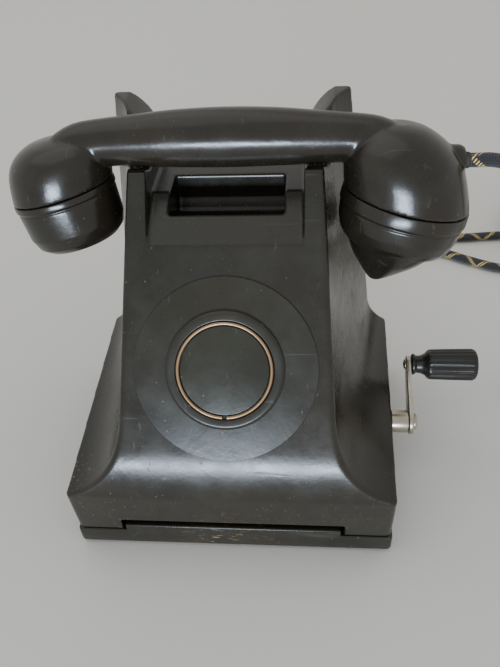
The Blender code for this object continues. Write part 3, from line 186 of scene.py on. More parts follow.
# %% Node helper
class Recipe:
    """A material with short calls for the nodes that the recipes use."""

    def __init__(self, name):
        self.mat = bpy.data.materials.new(name)
        self.mat.use_nodes = True
        self.tree = self.mat.node_tree
        self.shader = self.tree.nodes["Principled BSDF"]
        self.coords = self.tree.nodes.new("ShaderNodeTexCoord")

    def node(self, kind, links=(), **settings):
        made = self.tree.nodes.new(kind)
        for key, value in settings.items():
            setattr(made, key, value)
        for socket, source in dict(links).items():
            if isinstance(source, bpy.types.NodeSocket):
                self.tree.links.new(source, made.inputs[socket])
            else:
                made.inputs[socket].default_value = source
        return made

    def noise(self, scale, detail=3.0, rough=0.5, stretch=None, turn=None):
        vector = self.coords.outputs["Object"]
        if stretch or turn:
            links = {"Vector": vector, "Scale": stretch or (1, 1, 1), "Rotation": turn or (0, 0, 0)}
            vector = self.node("ShaderNodeMapping", links).outputs["Vector"]
        links = {"Vector": vector, "Scale": scale, "Detail": detail, "Roughness": rough}
        return self.node("ShaderNodeTexNoise", links).outputs["Fac"]

    def cells(self, scale):
        links = {"Vector": self.coords.outputs["Object"], "Scale": scale}
        return self.node("ShaderNodeTexVoronoi", links)

    def ramp(self, source, low, high, out_low=0.0, out_high=1.0):
        links = {"Value": source, "From Min": low, "From Max": high, "To Min": out_low,
                 "To Max": out_high}
        return self.node("ShaderNodeMapRange", links, clamp=True).outputs["Result"]

    def math(self, operation, a, b=0.0):
        made = self.node("ShaderNodeMath", {0: a, 1: b}, operation=operation)
        return made.outputs[0]

    def mix(self, factor, a, b):
        made = self.node("ShaderNodeMix", data_type="RGBA")
        for index, source in ((0, factor), (6, a), (7, b)):
            if isinstance(source, bpy.types.NodeSocket):
                self.tree.links.new(source, made.inputs[index])
            else:
                made.inputs[index].default_value = source if index == 0 else (*source, 1.0)
        return made.outputs[2]

    def bump(self, height, strength, distance, after=None):
        links = {"Height": height, "Strength": strength, "Distance": distance}
        if after:
            links["Normal"] = after
        return self.node("ShaderNodeBump", links).outputs["Normal"]

    def set(self, **sockets):
        for key, source in sockets.items():
            socket = self.shader.inputs[key.replace("_", " ")]
            if isinstance(source, bpy.types.NodeSocket):
                self.tree.links.new(source, socket)
            else:
                colour = isinstance(source, tuple) and len(source) == 3
                socket.default_value = (*source, 1.0) if colour else source
        return self.mat


# %% [markdown]
# ### Bakelite
# Old Bakelite isn't clean black. Its surface has gone a little olive and brown, a thin film of
# dust sits on it, and there are pale specks and hairline scratches. So the colour is three
# layers of noise, the specks are the cores of small cells, and the roughness follows the film.


# %% Bakelite recipe
def bakelite(name, dark, warm, gloss=(0.2, 0.36), dust=0.55, seed=0.0, worn=()):
    r = Recipe(name)
    clouds = r.noise(9.0, 4.0, 0.6, turn=(seed, seed * 0.7, 0.0))
    film = r.noise(38.0, 5.0, 0.65, turn=(0.0, seed, 0.3))
    colour = r.mix(r.ramp(clouds, 0.38, 0.66), dark, warm)
    grime = r.ramp(film, 0.45, 0.78, 0.0, dust * 0.5)
    colour = r.mix(grime, colour, (0.044, 0.041, 0.028))
    grain = r.noise(2600.0, 2.0, 0.5)
    colour = r.mix(r.ramp(grain, 0.58, 0.8, 0.0, 0.35), colour, (0.06, 0.052, 0.036))
    spots = r.cells(330.0)
    picked = r.ramp(spots.outputs["Color"], 0.66, 0.69)
    core = r.ramp(spots.outputs["Distance"], 0.07, 0.13, 1.0, 0.0)
    speck = r.math("MULTIPLY", picked, core)
    patches = r.ramp(r.noise(22.0, 2.0), 0.45, 0.6)
    speck = r.math("MULTIPLY", speck, patches)
    colour = r.mix(r.math("MULTIPLY", speck, dust), colour, (0.34, 0.24, 0.13))
    scratch_a = r.ramp(r.noise(16.0, 2.0, 0.4, stretch=(1.0, 30.0, 6.0), turn=(0.2, 0.1, 0.9)),
                       0.70, 0.74)
    scratch_b = r.ramp(r.noise(14.0, 2.0, 0.4, stretch=(26.0, 1.0, 9.0), turn=(0.1, 0.5, -0.6)),
                       0.71, 0.75)
    scratch = r.math("MAXIMUM", scratch_a, scratch_b)
    colour = r.mix(r.math("MULTIPLY", scratch, 0.07), colour, (0.2, 0.19, 0.16))
    for place, reach, tint in worn:
        gap = r.node("ShaderNodeVectorMath", {0: r.coords.outputs["Object"], 1: place},
                     operation="DISTANCE")
        near = r.ramp(gap.outputs["Value"], 0.0, reach, 1.0, 0.0)
        chips = r.ramp(r.noise(480.0, 4.0, 0.7, stretch=(0.35, 1.0, 1.6)), 0.6, 0.66)
        colour = r.mix(r.math("MULTIPLY", chips, near), colour, tint)
    rough = r.ramp(film, 0.3, 0.75, gloss[0], gloss[1])
    rough = r.math("ADD", rough, r.math("MULTIPLY", speck, 0.3))
    rough = r.math("ADD", rough, r.math("MULTIPLY", scratch, 0.08))
    normal = r.bump(r.noise(420.0, 3.0, 0.55), 0.10, 0.0004)
    normal = r.bump(r.noise(60.0, 2.0, 0.5), 0.12, 0.001, normal)
    normal = r.bump(r.math("SUBTRACT", speck, scratch), 0.12, 0.00015, normal)
    return r.set(Base_Color=colour, Roughness=rough, Normal=normal, IOR=1.5)


# %% Bakelite finishes
CASE = bakelite("case_bakelite", (0.011, 0.0105, 0.0075), (0.02, 0.0155, 0.010), seed=0.3,
                worn=(((-0.004, -0.074, 0.012), 0.03, (0.3, 0.19, 0.08)),
                      ((-0.082, -0.06, 0.042), 0.016, (0.4, 0.38, 0.34))))
HANDSET = bakelite("handset_bakelite", (0.009, 0.0085, 0.0065), (0.018, 0.013, 0.009),
                   gloss=(0.18, 0.32), seed=1.1)
DIAL = bakelite("dial_bakelite", (0.013, 0.0125, 0.009), (0.022, 0.0195, 0.013), gloss=(0.24, 0.4),
                dust=0.75, seed=2.0)
GRIP = bakelite("grip_bakelite", (0.006, 0.0055, 0.0055), (0.011, 0.009, 0.008),
                gloss=(0.26, 0.42), dust=0.4, seed=2.9)
CARD = bakelite("card_face", (0.014, 0.0145, 0.0095), (0.023, 0.0235, 0.015), gloss=(0.22, 0.34),
                dust=0.8, seed=4.2)

# %% [markdown]
# ### Metals
# Plated and plain metals differ in colour and in how evenly they shine. One recipe serves them
# all: a base colour, a tarnish that gathers in soft clouds, and fine marks in the roughness.


# %% Metal recipe
def metal(name, colour, tarnish, rough=(0.18, 0.4), amount=0.5, seed=0.0, metallic=1.0):
    r = Recipe(name)
    clouds = r.noise(55.0, 4.0, 0.62, turn=(seed, 0.4, seed * 0.5))
    spots = r.ramp(r.noise(620.0, 3.0, 0.6), 0.6, 0.74, 0.0, 0.55)
    cover = r.math("MAXIMUM", r.ramp(clouds, 0.42, 0.7, 0.0, amount),
                   r.math("MULTIPLY", spots, amount))
    colour_out = r.mix(cover, colour, tarnish)
    marks = r.noise(180.0, 3.0, 0.55, stretch=(1.0, 9.0, 3.0), turn=(0.3, 0.2, 0.8))
    roughness = r.math("ADD", r.ramp(clouds, 0.3, 0.75, rough[0], rough[1]),
                       r.ramp(marks, 0.5, 0.8, 0.0, 0.08))
    normal = r.bump(r.noise(900.0, 2.0, 0.5), 0.08, 0.0002)
    return r.set(Base_Color=colour_out, Metallic=metallic, Roughness=roughness, Normal=normal)


# %% Metal finishes
NICKEL = metal("nickel_plate", (0.62, 0.57, 0.48), (0.24, 0.2, 0.14), (0.16, 0.34), 0.45, 0.4)
BRASS = metal("aged_brass", (0.5, 0.36, 0.17), (0.2, 0.13, 0.07), (0.25, 0.45), 0.6, 1.2)
RING_METAL = metal("ring_brass", (0.42, 0.28, 0.16), (0.2, 0.13, 0.08), (0.3, 0.5), 0.6, 2.2)
STEEL = metal("plain_steel", (0.42, 0.42, 0.43), (0.2, 0.17, 0.14), (0.28, 0.5), 0.4, 3.1)
IRON = metal("magnet_iron", (0.1, 0.1, 0.11), (0.06, 0.035, 0.025), (0.45, 0.65), 0.6, 4.4, 0.8)

# %% [markdown]
# ### Rubber, fibre, windings
# These are dull, so most of their life is in bump: a fine grain on rubber, pressed layers in
# the fibre board, and close turns of varnished wire on the coils.


# %% Dull finishes
def dull(name, colour, other, rough, grain, stretch=None):
    r = Recipe(name)
    clouds = r.noise(70.0, 4.0, 0.6)
    lines = r.noise(grain, 2.0, 0.5, stretch=stretch)
    base = r.mix(r.ramp(clouds, 0.35, 0.7), colour, other)
    base = r.mix(r.ramp(lines, 0.55, 0.75, 0.0, 0.3), base, tuple(c * 0.5 for c in colour))
    return r.set(Base_Color=base, Roughness=r.ramp(clouds, 0.3, 0.7, rough - 0.08, rough + 0.08),
                 Normal=r.bump(lines, 0.25, 0.0003))


RUBBER = dull("old_rubber", (0.02, 0.02, 0.02), (0.04, 0.037, 0.032), 0.75, 1400.0)
FIBRE = dull("fibre_board", (0.18, 0.07, 0.04), (0.12, 0.045, 0.03), 0.62, 260.0, (1.0, 1.0, 9.0))
WINDING = dull("varnished_winding", (0.35, 0.12, 0.06), (0.24, 0.07, 0.035), 0.42, 500.0,
               (8.0, 1.0, 1.0))

# %% [markdown]
# ### Braided cord
# The cords have a braided cotton sleeve: two sets of threads wind opposite ways, and a few pale
# tracer threads show as short dashes. The tube stores how far along and how far round each
# point is, so the braid follows the cord round every bend.


# %% Braid recipe
def braid():
    r = Recipe("cotton_braid")
    along = r.node("ShaderNodeAttribute", attribute_name="along").outputs["Fac"]
    side = r.node("ShaderNodeAttribute", attribute_name="side").outputs["Fac"]
    rise = r.node("ShaderNodeAttribute", attribute_name="rise").outputs["Fac"]
    round_angle = r.math("ARCTAN2", rise, side)
    lengthwise = r.math("MULTIPLY", along, 2 * pi / 0.0085)
    one_way = r.math("SINE", r.math("ADD", r.math("MULTIPLY", round_angle, 8.0),
                                    r.math("MULTIPLY", lengthwise, 4.0)))
    other_way = r.math("SINE", r.math("SUBTRACT", r.math("MULTIPLY", round_angle, 8.0),
                                      r.math("MULTIPLY", lengthwise, 4.0)))
    weave = r.math("MULTIPLY", one_way, other_way)
    stripe = r.math("SINE", r.math("ADD", round_angle, r.math("MULTIPLY", lengthwise, 0.34)))
    counter = r.math("SINE", r.math("SUBTRACT", round_angle, r.math("MULTIPLY", lengthwise, 0.34)))
    pair = r.math("MAXIMUM", r.ramp(stripe, 0.86, 0.9), r.ramp(counter, 0.88, 0.92))
    tracer = r.math("MULTIPLY", pair, r.ramp(one_way, 0.0, 0.25))
    fuzz = r.noise(3200.0, 2.0, 0.6)
    threads = r.mix(r.ramp(fuzz, 0.35, 0.7), (0.008, 0.009, 0.012), (0.024, 0.024, 0.032))
    colour = r.mix(tracer, threads, (0.72, 0.52, 0.16))
    normal = r.bump(weave, 0.6, 0.0004)
    normal = r.bump(fuzz, 0.3, 0.0001, normal)
    return r.set(Base_Color=colour, Roughness=0.85, Normal=normal, Sheen_Weight=0.3,
                 Sheen_Roughness=0.5)


BRAID = braid()
print("materials", len(bpy.data.materials))

# %% [markdown]
# ## Cords
# A cord is a fixed length of something flexible. Each one here follows a few listed points on a
# smooth curve. The handset cord runs from the handset over the table to its gland at the back of
# the case; it is swept once and does not bend, so it stays in place when the handset is lifted.
# The line cord's spare length is wound in a coil, turn by turn, and its turns lie beside and on
# each other.

# %% Routes
HANDSET_ROUTE = ((118.8, 31.4, 179.4), (123.2, 31.4, 179.4), (130.0, 31.5, 179.2),
                 (138.5, 32.4, 176.2), (146.5, 33.5, 168.6), (154.5, 35.0, 157.0),
                 (161.0, 36.5, 140.0), (165.5, 38.0, 115.0), (168.5, 40.0, 85.0),
                 (171.0, 43.0, 52.0), (176.0, 49.0, 24.0), (188.0, 57.0, 8.5), (212.0, 63.0, 4.1),
                 (250.0, 72.0, 3.8), (282.0, 92.0, 3.8), (295.0, 122.0, 3.8), (286.0, 148.0, 3.8),
                 (262.0, 168.0, 3.8), (230.0, 180.0, 3.8), (194.0, 184.0, 3.8),
                 (172.0, 194.0, 3.8), (150.0, 206.0, 3.8), (124.0, 212.0, 3.8), (98.0, 206.0, 3.8),
                 (76.0, 188.0, 3.8), (60.0, 160.0, 3.8), (50.0, 132.0, 5.2), (45.5, 110.0, 12.0),
                 (44.0, 94.0, 21.5), (44.0, 84.0, 25.6), (44.0, 77.5, 26.0))
LINE_ROUTE = ((18.0, 77.5, 26.0), (18.0, 84.0, 25.6), (18.2, 94.0, 21.5), (19.5, 110.0, 12.0),
              (23.0, 132.0, 5.2), (30.0, 156.0, 3.8), (44.0, 184.0, 3.8), (66.0, 208.0, 3.8),
              (96.0, 224.0, 3.8), (130.0, 229.0, 3.8), (164.0, 228.0, 3.8), (190.0, 230.0, 3.8))
CORD_D, CORD_SIDES = 7.0, 14


def smooth_path(route, step=2.0):
    """Even points on one smooth curve through the route."""
    points = [Vector(p) for p in route]
    ends = [points[0] * 2 - points[1]] + points + [points[-1] * 2 - points[-2]]
    fine = []
    for a, b, c, d in zip(ends, ends[1:], ends[2:], ends[3:]):
        fine += interpolate_bezier(b, b + (c - a) / 6, c - (d - b) / 6, c, 24)[:-1]
    fine.append(points[-1])
    even = [fine[0]]
    for point in fine[1:]:
        if (point - even[-1]).length >= step:
            even.append(point)
    even[-1] = fine[-1]
    return even


def path_length(path):
    return sum((b - a).length for a, b in zip(path, path[1:]))


# %% Cord tube
def cord_tube(name, path, body, replaces):
    """Sweep a ring along the path without twist; each ring stores its place on the cord."""
    bm = bmesh.new()
    along, side, rise = (bm.verts.layers.float.new(key) for key in ("along", "side", "rise"))
    across, run, loops = None, 0.0, []
    for i, point in enumerate(path):
        ahead = (path[min(i + 1, len(path) - 1)] - path[max(i - 1, 0)]).normalized()
        across = across or ahead.orthogonal()
        across = (across - ahead * across.dot(ahead)).normalized()
        other = ahead.cross(across)
        run += (point - path[i - 1]).length if i else 0.0
        place = Matrix((across, other, ahead)).transposed().to_4x4()
        place.translation = point
        ring = bmesh.ops.create_circle(bm, cap_ends=False, segments=CORD_SIDES, radius=CORD_D / 2,
                                       matrix=place)["verts"]
        for vert in ring:
            offset = vert.co - point
            vert[along], vert[side], vert[rise] = run * MM, offset.dot(across), offset.dot(other)
        loops.append(list({edge for vert in ring for edge in vert.link_edges}))
    for low, high in zip(loops, loops[1:]):
        bmesh.ops.bridge_loops(bm, edges=low + high)
    bmesh.ops.holes_fill(bm, edges=loops[0] + loops[-1], sides=CORD_SIDES)
    return finish(name, bm, body, BRAID, replaces, 60.0)


# %% Handset cord
handset_path = smooth_path(HANDSET_ROUTE)
handset_lead = cord_tube("handset_lead", handset_path, None, ())
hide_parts("handset_cord")
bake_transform(handset_lead)
print("handset lead", round(path_length(handset_path)), "mm")

# %% [markdown]
# The coil has three layers of two turns. The path winds round the outer place of a layer,
# steps in, winds the inner place, and rises to the next layer, as a hand would wind it.

# %% Line cord and its coil
COIL_AT = Vector((254.0, 240.0, 0.0))
COIL_PLACES = ((38.6, 3.9), (31.1, 3.9), (31.1, 11.1), (38.6, 11.1), (31.1, 18.2), (38.6, 18.2))
TURN_POINTS = 24


def coil_points():
    """Clockwise turns from the coil's left side; radius and height ease from place to place."""
    made = []
    stops = COIL_PLACES + (COIL_PLACES[-1],)
    total = TURN_POINTS * (len(COIL_PLACES) - 1) + TURN_POINTS // 2
    for i in range(total + 1):
        turn, part = divmod(i / TURN_POINTS, 1.0)
        ease = min(1.0, max(0.0, (part - 0.8) / 0.2))
        here, there = stops[int(turn)], stops[int(turn) + 1]
        radius = here[0] + (there[0] - here[0]) * ease
        height = here[1] + (there[1] - here[1]) * ease
        angle = pi - 2 * pi * i / TURN_POINTS
        made.append(COIL_AT + Vector((radius * cos(angle), radius * sin(angle), height)))
    return made


tail = [Vector((293.0, 226.0, 15.5)), Vector((293.0, 216.0, 9.4)), Vector((293.0, 209.3, 7.7))]
line_path = smooth_path([Vector(p) for p in LINE_ROUTE] + [Vector((207.0, 232.6, 3.8))]
                        + coil_points() + tail)
line_lead = cord_tube("line_lead", line_path, "root", ("line_cord", "line_cord_coil"))
PLUG_PLACE = axis_frame((COIL_AT[0] + 39.0, 209.0, 7.7), (0.0, -1.0, 0.0))
plug = turned("wall_plug", [(0.0, 0.0), (3.6, 0.0), (4.4, 6.0), (7.0, 9.0), (7.4, 26.0),
                            (6.6, 28.0), (3.2, 28.0), (3.2, 38.0), (0.0, 40.0)], PLUG_PLACE,
              "root", GRIP, ("line_plug",))
print("line lead", round(path_length(line_path)), "mm")

# %% [markdown]
# A rubber band keeps the turns together on the side away from the set. It is a flat loop
# round the coil's section, with rounded corners.

# %% Coil tie
band = bmesh.new()
rims = []
for grow in (0.0, 0.9):
    low = 0.35 - min(grow, 0.3)
    for offset in (-3.0, 3.0):
        corners = [(27.2 - grow, low), (42.6 + grow, low), (42.6 + grow, 22.0 + grow),
                   (27.2 - grow, 22.0 + grow)]
        made = [band.verts.new((COIL_AT.x + offset, COIL_AT.y + out, z)) for out, z in corners]
        rims.append([band.edges.new((made[i - 1], made[i])) for i in range(4)])
for first, second in ((0, 1), (2, 3), (0, 2), (1, 3)):
    bmesh.ops.bridge_loops(band, edges=rims[first] + rims[second])
band_corners = [e for e in band.edges if abs(e.verts[0].co.x - e.verts[1].co.x) > 5.0]
bmesh.ops.bevel(band, geom=band_corners, offset=0.28, segments=3, profile=0.5, affect="EDGES",
                material=-1)
finish("coil_tie", band, "root", RUBBER, ())

# %% [markdown]
# ## Shaping moulded parts
# A moulded part has soft edges everywhere. Cutting it with other solids leaves knife edges, so
# after the cuts the surface is rebuilt on a fine grid, smoothed a little, and thinned again.


# %% Cutting and softening
def tool(bm):
    """A solid that only cuts or joins; it is removed after use."""
    bmesh.ops.remove_doubles(bm, verts=bm.verts, dist=MERGE)
    bmesh.ops.recalc_face_normals(bm, faces=bm.faces)
    bmesh.ops.scale(bm, vec=(MM, MM, MM), verts=bm.verts)
    mesh = bpy.data.meshes.new("tool")
    bm.to_mesh(mesh)
    bm.free()
    made = bpy.data.objects.new("tool", mesh)
    bpy.context.scene.collection.objects.link(made)
    return made


def combine(piece, operation, tools):
    for other in tools:
        step = piece.modifiers.new("step", "BOOLEAN")
        step.operation, step.solver, step.object = operation, "EXACT", other


def soften(piece, joins=(), cuts=(), grid=0.8, passes=6, keep=0.3, sharp=50.0):
    """Join, cut, rebuild on a grid of that many millimetres, smooth and thin."""
    combine(piece, "UNION", joins)
    combine(piece, "DIFFERENCE", cuts)
    if grid:
        rebuilt = piece.modifiers.new("rebuilt", "REMESH")
        rebuilt.mode, rebuilt.voxel_size = "VOXEL", grid * MM
        smooth = piece.modifiers.new("smooth", "SMOOTH")
        smooth.factor, smooth.iterations = 0.5, passes
        thin = piece.modifiers.new("thin", "DECIMATE")
        thin.ratio = keep
    bpy.context.view_layer.update()
    depsgraph = bpy.context.evaluated_depsgraph_get()
    made = bpy.data.meshes.new_from_object(piece.evaluated_get(depsgraph))
    material = piece.data.materials[0]
    piece.modifiers.clear()
    piece.data = made
    made.materials.clear()
    made.materials.append(material)
    made.shade_smooth()
    made.set_sharp_from_angle(angle=radians(sharp))
    for other in (*joins, *cuts):
        bpy.data.objects.remove(other, do_unlink=True)
    print(piece.name, len(made.polygons), "faces")


def outline_bm(outline, plane, low, high):
    """Extrude a flat outline; YZ runs along X, XZ along Y."""
    bm = bmesh.new()
    spot = (lambda a, b: (low, a, b)) if plane == "YZ" else (lambda a, b: (a, low, b))
    face = bm.faces.new([bm.verts.new(spot(a, b)) for a, b in outline])
    grown = bmesh.ops.extrude_face_region(bm, geom=[face])["geom"]
    push = Vector((high - low, 0, 0)) if plane == "YZ" else Vector((0, high - low, 0))
    bmesh.ops.translate(bm, vec=push, verts=[v for v in grown if isinstance(v, bmesh.types.BMVert)])
    return bm


def block_bm(low, high, bevel=0.0):
    bm = bmesh.new()
    bmesh.ops.create_cube(bm, size=1.0)
    bmesh.ops.scale(bm, vec=[b - a for a, b in zip(low, high)], verts=bm.verts)
    bmesh.ops.translate(bm, vec=[(a + b) / 2 for a, b in zip(low, high)], verts=bm.verts)
    if bevel:
        bmesh.ops.bevel(bm, geom=list(bm.edges), offset=bevel, segments=3, profile=0.5,
                        affect="EDGES", material=-1)
    return bm


def rod_bm(radius, low, high, place, steps=48):
    return turned_bm([(0.0, low), (radius, low), (radius, high), (0.0, high)], place, steps, 0.0)


# %% [markdown]
# ## The case
# The case is one moulding: a skirt, a rounded nose, a long sloping front, and flanks that sweep
# up in a cove to a narrow neck. It is drawn as plan sections, one above another, which are
# bridged. Then the cradle, the finger pocket and the hollow are cut.

# %% Case sections
CREASE_Z, SKIRT_Z, SLOPE, NOSE_R = 44.0, 13.5, radians(54.0), 62.0
FRONT_Y, REAR_Y, PANEL_Y0 = -73.5, 73.5, -82.5
NOSE_TILT = radians(82.0)


def panel_y(z):
    return PANEL_Y0 + (z - CREASE_Z) / tan(SLOPE)


def front_y(z):
    if z <= CREASE_Z:
        return FRONT_Y + 0.9 * (CREASE_Z - z) / (CREASE_Z - SKIRT_Z)
    if z >= CREASE_Z + NOSE_R * (cos(SLOPE) - cos(NOSE_TILT)):
        return panel_y(z)
    level = (z - CREASE_Z) / NOSE_R + cos(NOSE_TILT)
    return FRONT_Y + NOSE_R * (sin(NOSE_TILT) - sqrt(1 - level * level))


def flank(z, half, radius, sweep, draft):
    """Half width at a height: a cove above the crease, then a drafted straight."""
    if z <= CREASE_Z:
        return half - 0.9 * (CREASE_Z - z) / (CREASE_Z - SKIRT_Z)
    neck, neck_z = half - radius * (1 - cos(sweep)), CREASE_Z + radius * sin(sweep)
    if z >= neck_z:
        return neck - draft * (z - neck_z)
    rise = (neck_z - z) / radius
    return neck + radius * (1 - sqrt(max(0.0, 1 - rise * rise)))


def section(z, inset=0.0, level=None):
    """Plan outline: rounded corners, and flanks hollowed a little between front and rear."""
    front = flank(z, 86.5, 43.0, radians(75.0), 0.0654) - inset
    rear = flank(z, 91.0, 25.0, radians(61.0), 0.117) - inset
    y0 = front_y(z) + (inset / sin(SLOPE) if z > CREASE_Z else inset)
    y1 = REAR_Y - inset
    corner = 2.6
    hollow = 3.2 * min(1.0, max(0.0, (z - CREASE_Z) / 50.0))
    right = [(front - corner + corner * sin(a), y0 + corner - corner * cos(a))
             for a in [pi / 2 * i / 5 for i in range(6)]]
    for i in range(1, 12):
        share = i / 12
        y = (y0 + corner) + (y1 - y0 - 2 * corner) * share
        right.append((front + (rear - front) * share - hollow * 4 * share * (1 - share), y))
    right += [(rear - corner + corner * cos(a), y1 - corner + corner * sin(a))
              for a in [pi / 2 * i / 5 for i in range(6)]]
    height = z if level is None else level
    left = [(-x, y) for x, y in reversed(right)]
    return [Vector((x, y, height)) for x, y in right + left]


# %% Case solid and its cuts
heights = [SKIRT_Z, 14.2, 24.0, 34.0, CREASE_Z - 0.8, CREASE_Z]
heights += [CREASE_Z + 46.0 * (i / 30) ** 1.3 for i in range(1, 31)]
heights += [100.0 + 10.12 * i for i in range(11)]
case_shell = finish("case_shell", lofted_bm([section(z) for z in heights]), "root", CASE,
                    ("body_shell",))
HANDLE_Y, SADDLE_Z, SADDLE_R, POST_TOP = 34.0, 192.2, 14.6, 182.4
POST_X, LIP, BACK_Z = 38.7, (12.0, 162.3), 168.5
run = (LIP[0] + 2.7, LIP[1] - 153.8)
start = (-2.7 - run[0] * 1.6, 153.8 - run[1] * 1.6)
recess = tool(outline_bm([start, LIP, (24.0, BACK_Z), (90.0, BACK_Z), (90.0, 220.0),
                          (start[0], 220.0)], "YZ", -POST_X, POST_X))
pocket_outline = [(12.5, 175.0), (12.5, 152.0), (13.6, 148.6), (17.5, 146.0), (32.0, 146.0),
                  (38.0, 149.5), (41.0, 156.0), (41.0, 175.0)]
pocket = tool(outline_bm(pocket_outline, "YZ", -29.0, 29.0))
half_arc = acos((SADDLE_Z - POST_TOP) / SADDLE_R)
saddle_arc = [(HANDLE_Y + SADDLE_R * cos(a), SADDLE_Z + SADDLE_R * sin(a))
              for a in [-pi / 2 - half_arc + (pi / 2 + half_arc) * i / 28 for i in range(29)]]
horn_back = [(50.4, 197.3), (57.2, 203.1), (57.2, 220.0), (-30.0, 220.0)]
saddle = tool(outline_bm([(-30.0, POST_TOP)] + saddle_arc + horn_back, "YZ", -80.0, 80.0))
sweep = smooth_path([(38.8, 0, 168.7), (38.9, 0, 178.0), (40.8, 0, 185.5), (43.6, 0, 191.0),
                     (47.0, 0, 195.6), (50.7, 0, 199.1), (55.9, 0, 202.3)], 1.5)
horn = [(20.0, 168.7)] + [(p.x, p.z) for p in sweep] + [(55.9, 220.0), (20.0, 220.0)]
ears = [tool(outline_bm([(side * x, z) for x, z in horn], "XZ", 20.0, 90.0)) for side in (1, -1)]
notch = tool(block_bm((-60.6, -90.0, 0.0), (60.6, -60.0, 22.0)))
print("cutters ready")

# %% [markdown]
# The hollow follows the outside at one wall's distance, less a roof under the cradle and a tub
# round the finger pocket, so those keep their own walls.

# %% Case hollow and holes
inner = [0.0] + [z for z in heights if SKIRT_Z < z < 170.0] + [174.6]
WALL, ROOF = 3.5, 3.4
hollow = tool(lofted_bm([section(max(z, SKIRT_Z), WALL, z) for z in inner]))
roof = tool(outline_bm([(start[0] - 30.0, start[1] - 30.0 * run[1] / run[0] - ROOF),
                        (LIP[0], LIP[1] - ROOF), (24.0, BACK_Z - ROOF), (90.0, BACK_Z - ROOF),
                        (90.0, 220.0), (start[0] - 30.0, 220.0)], "YZ", -POST_X - 3.2,
                       POST_X + 3.2))
tub = tool(block_bm((-32.0, 9.3, 142.8), (32.0, 44.2, 200.0)))
DIAL_Z = 104.3
DIAL_PLACE = axis_frame((0.0, panel_y(DIAL_Z), DIAL_Z), (0.0, -sin(SLOPE), cos(SLOPE)))
CRANK_Y, CRANK_Z = -8.4, 34.0
GLANDS_X, GLAND_Z = (44.0, 18.0), 26.0
CRANK_PLACE = place_x(CRANK_Y, CRANK_Z)
holes = [tool(rod_bm(20.0, -12.0, 6.0, DIAL_PLACE)), tool(rod_bm(5.5, 70.0, 110.0, CRANK_PLACE))]
holes += [tool(rod_bm(5.3, 60.0, 90.0, axis_frame((x, 0.0, GLAND_Z), (0.0, 1.0, 0.0))))
          for x in GLANDS_X]
holes += [tool(rod_bm(2.9, 165.0, 200.0, Matrix.Translation((x, HANDLE_Y, 0.0))))
          for x in (-46.0, 46.0)]
combine(hollow, "DIFFERENCE", (roof, tub))
soften(case_shell, cuts=(recess, pocket, saddle, *ears, notch, hollow, *holes), grid=0.8, passes=5,
       keep=0.26)
for other in (roof, tub):
    bpy.data.objects.remove(other, do_unlink=True)

# %% [markdown]
# ## The base
# A shallow tray closes the case from below. Its rim stands a little proud of the skirt, and a
# tongue rises into the notch at the front.

# %% Base tray
tray_rings = [(1.5, -0.9), (1.9, -0.3), (2.9, 0.8), (4.0, 0.9), (12.0, 0.9), (12.8, 0.6),
              (13.2, 0.0)]


def tray_ring(z, out):
    base = section(SKIRT_Z)
    return [Vector((p.x + (out if p.x > 0 else -out), p.y + (out if p.y > 0 else -out), z))
            for p in base]


base_tray = finish("base_tray", lofted_bm([tray_ring(z, out) for z, out in tray_rings]), "root",
                   CASE, ("plinth",))
well = tool(lofted_bm([tray_ring(6.0, -4.2), tray_ring(30.0, -4.2)]))
tongue = tool(block_bm((-58.8, FRONT_Y + 0.2, 8.0), (58.8, FRONT_Y + 4.6, 18.0), 0.8))
corners = [(sx, sy) for sx in (1, -1) for sy in (1, -1)]
screws_at = [Matrix.Translation((sx * 74.0, sy * 44.0, 0.0)) for sx, sy in corners]
feet_at = [Matrix.Translation((sx * 66.0, sy * 54.0, 0.0)) for sx, sy in corners]
bosses = [tool(rod_bm(4.5, 5.0, 9.7, place, 24)) for place in screws_at]
drills = [tool(rod_bm(1.7, 4.5, 20.0, place, 24)) for place in screws_at]
feet = [tool(rod_bm(7.6, 0.0, 3.8, place, 32)) for place in feet_at]
combine(base_tray, "DIFFERENCE", (well,))
soften(base_tray, joins=(tongue, *bosses), cuts=(*drills, *feet), grid=0, sharp=30.0)
bpy.data.objects.remove(well, do_unlink=True)

# %% [markdown]
# ## The blank dial
# Where a dial would sit there is a stepped disc: a broad flange, a raised boss, a card, and a
# wire snap ring that is open at the bottom.

# %% Dial discs
turned("dial_disc", [(0.0, -8.0), (19.6, -8.0), (19.6, 0.3), (46.3, 0.3), (46.3, 1.0), (0.0, 1.0)],
       DIAL_PLACE, "root", DIAL, ("dial_flange",), 128, 0.3)
turned("dial_step", [(0.0, 1.3), (29.8, 1.3), (29.8, 2.4), (28.4, 3.4), (24.6, 3.4), (24.6, 2.1),
                     (0.0, 2.1)], DIAL_PLACE, "root", DIAL, ("dial_boss",), 128, 0.6)
turned("dial_face", [(0.0, 2.4), (22.2, 2.4), (22.2, 3.3), (0.0, 3.3)], DIAL_PLACE, "root", CARD,
       ("dial_card",), 96, 0.4)
bm = bmesh.new()
RING_GAP = radians(6.0)
wire_at = Matrix.Translation((23.4, 0.0, 3.5)) @ Matrix.Rotation(pi / 2, 4, "X")
wire = bmesh.ops.create_circle(bm, cap_ends=True, segments=12, radius=0.9,
                               matrix=wire_at)["verts"]
bmesh.ops.rotate(bm, cent=(0, 0, 0), matrix=Matrix.Rotation(-pi / 2 + RING_GAP / 2, 3, "Z"),
                 verts=wire)
bmesh.ops.spin(bm, geom=list(bm.faces), cent=(0, 0, 0), axis=(0, 0, 1),
               angle=2 * pi - RING_GAP, steps=96, use_duplicate=False)
bmesh.ops.transform(bm, matrix=DIAL_PLACE, verts=bm.verts)
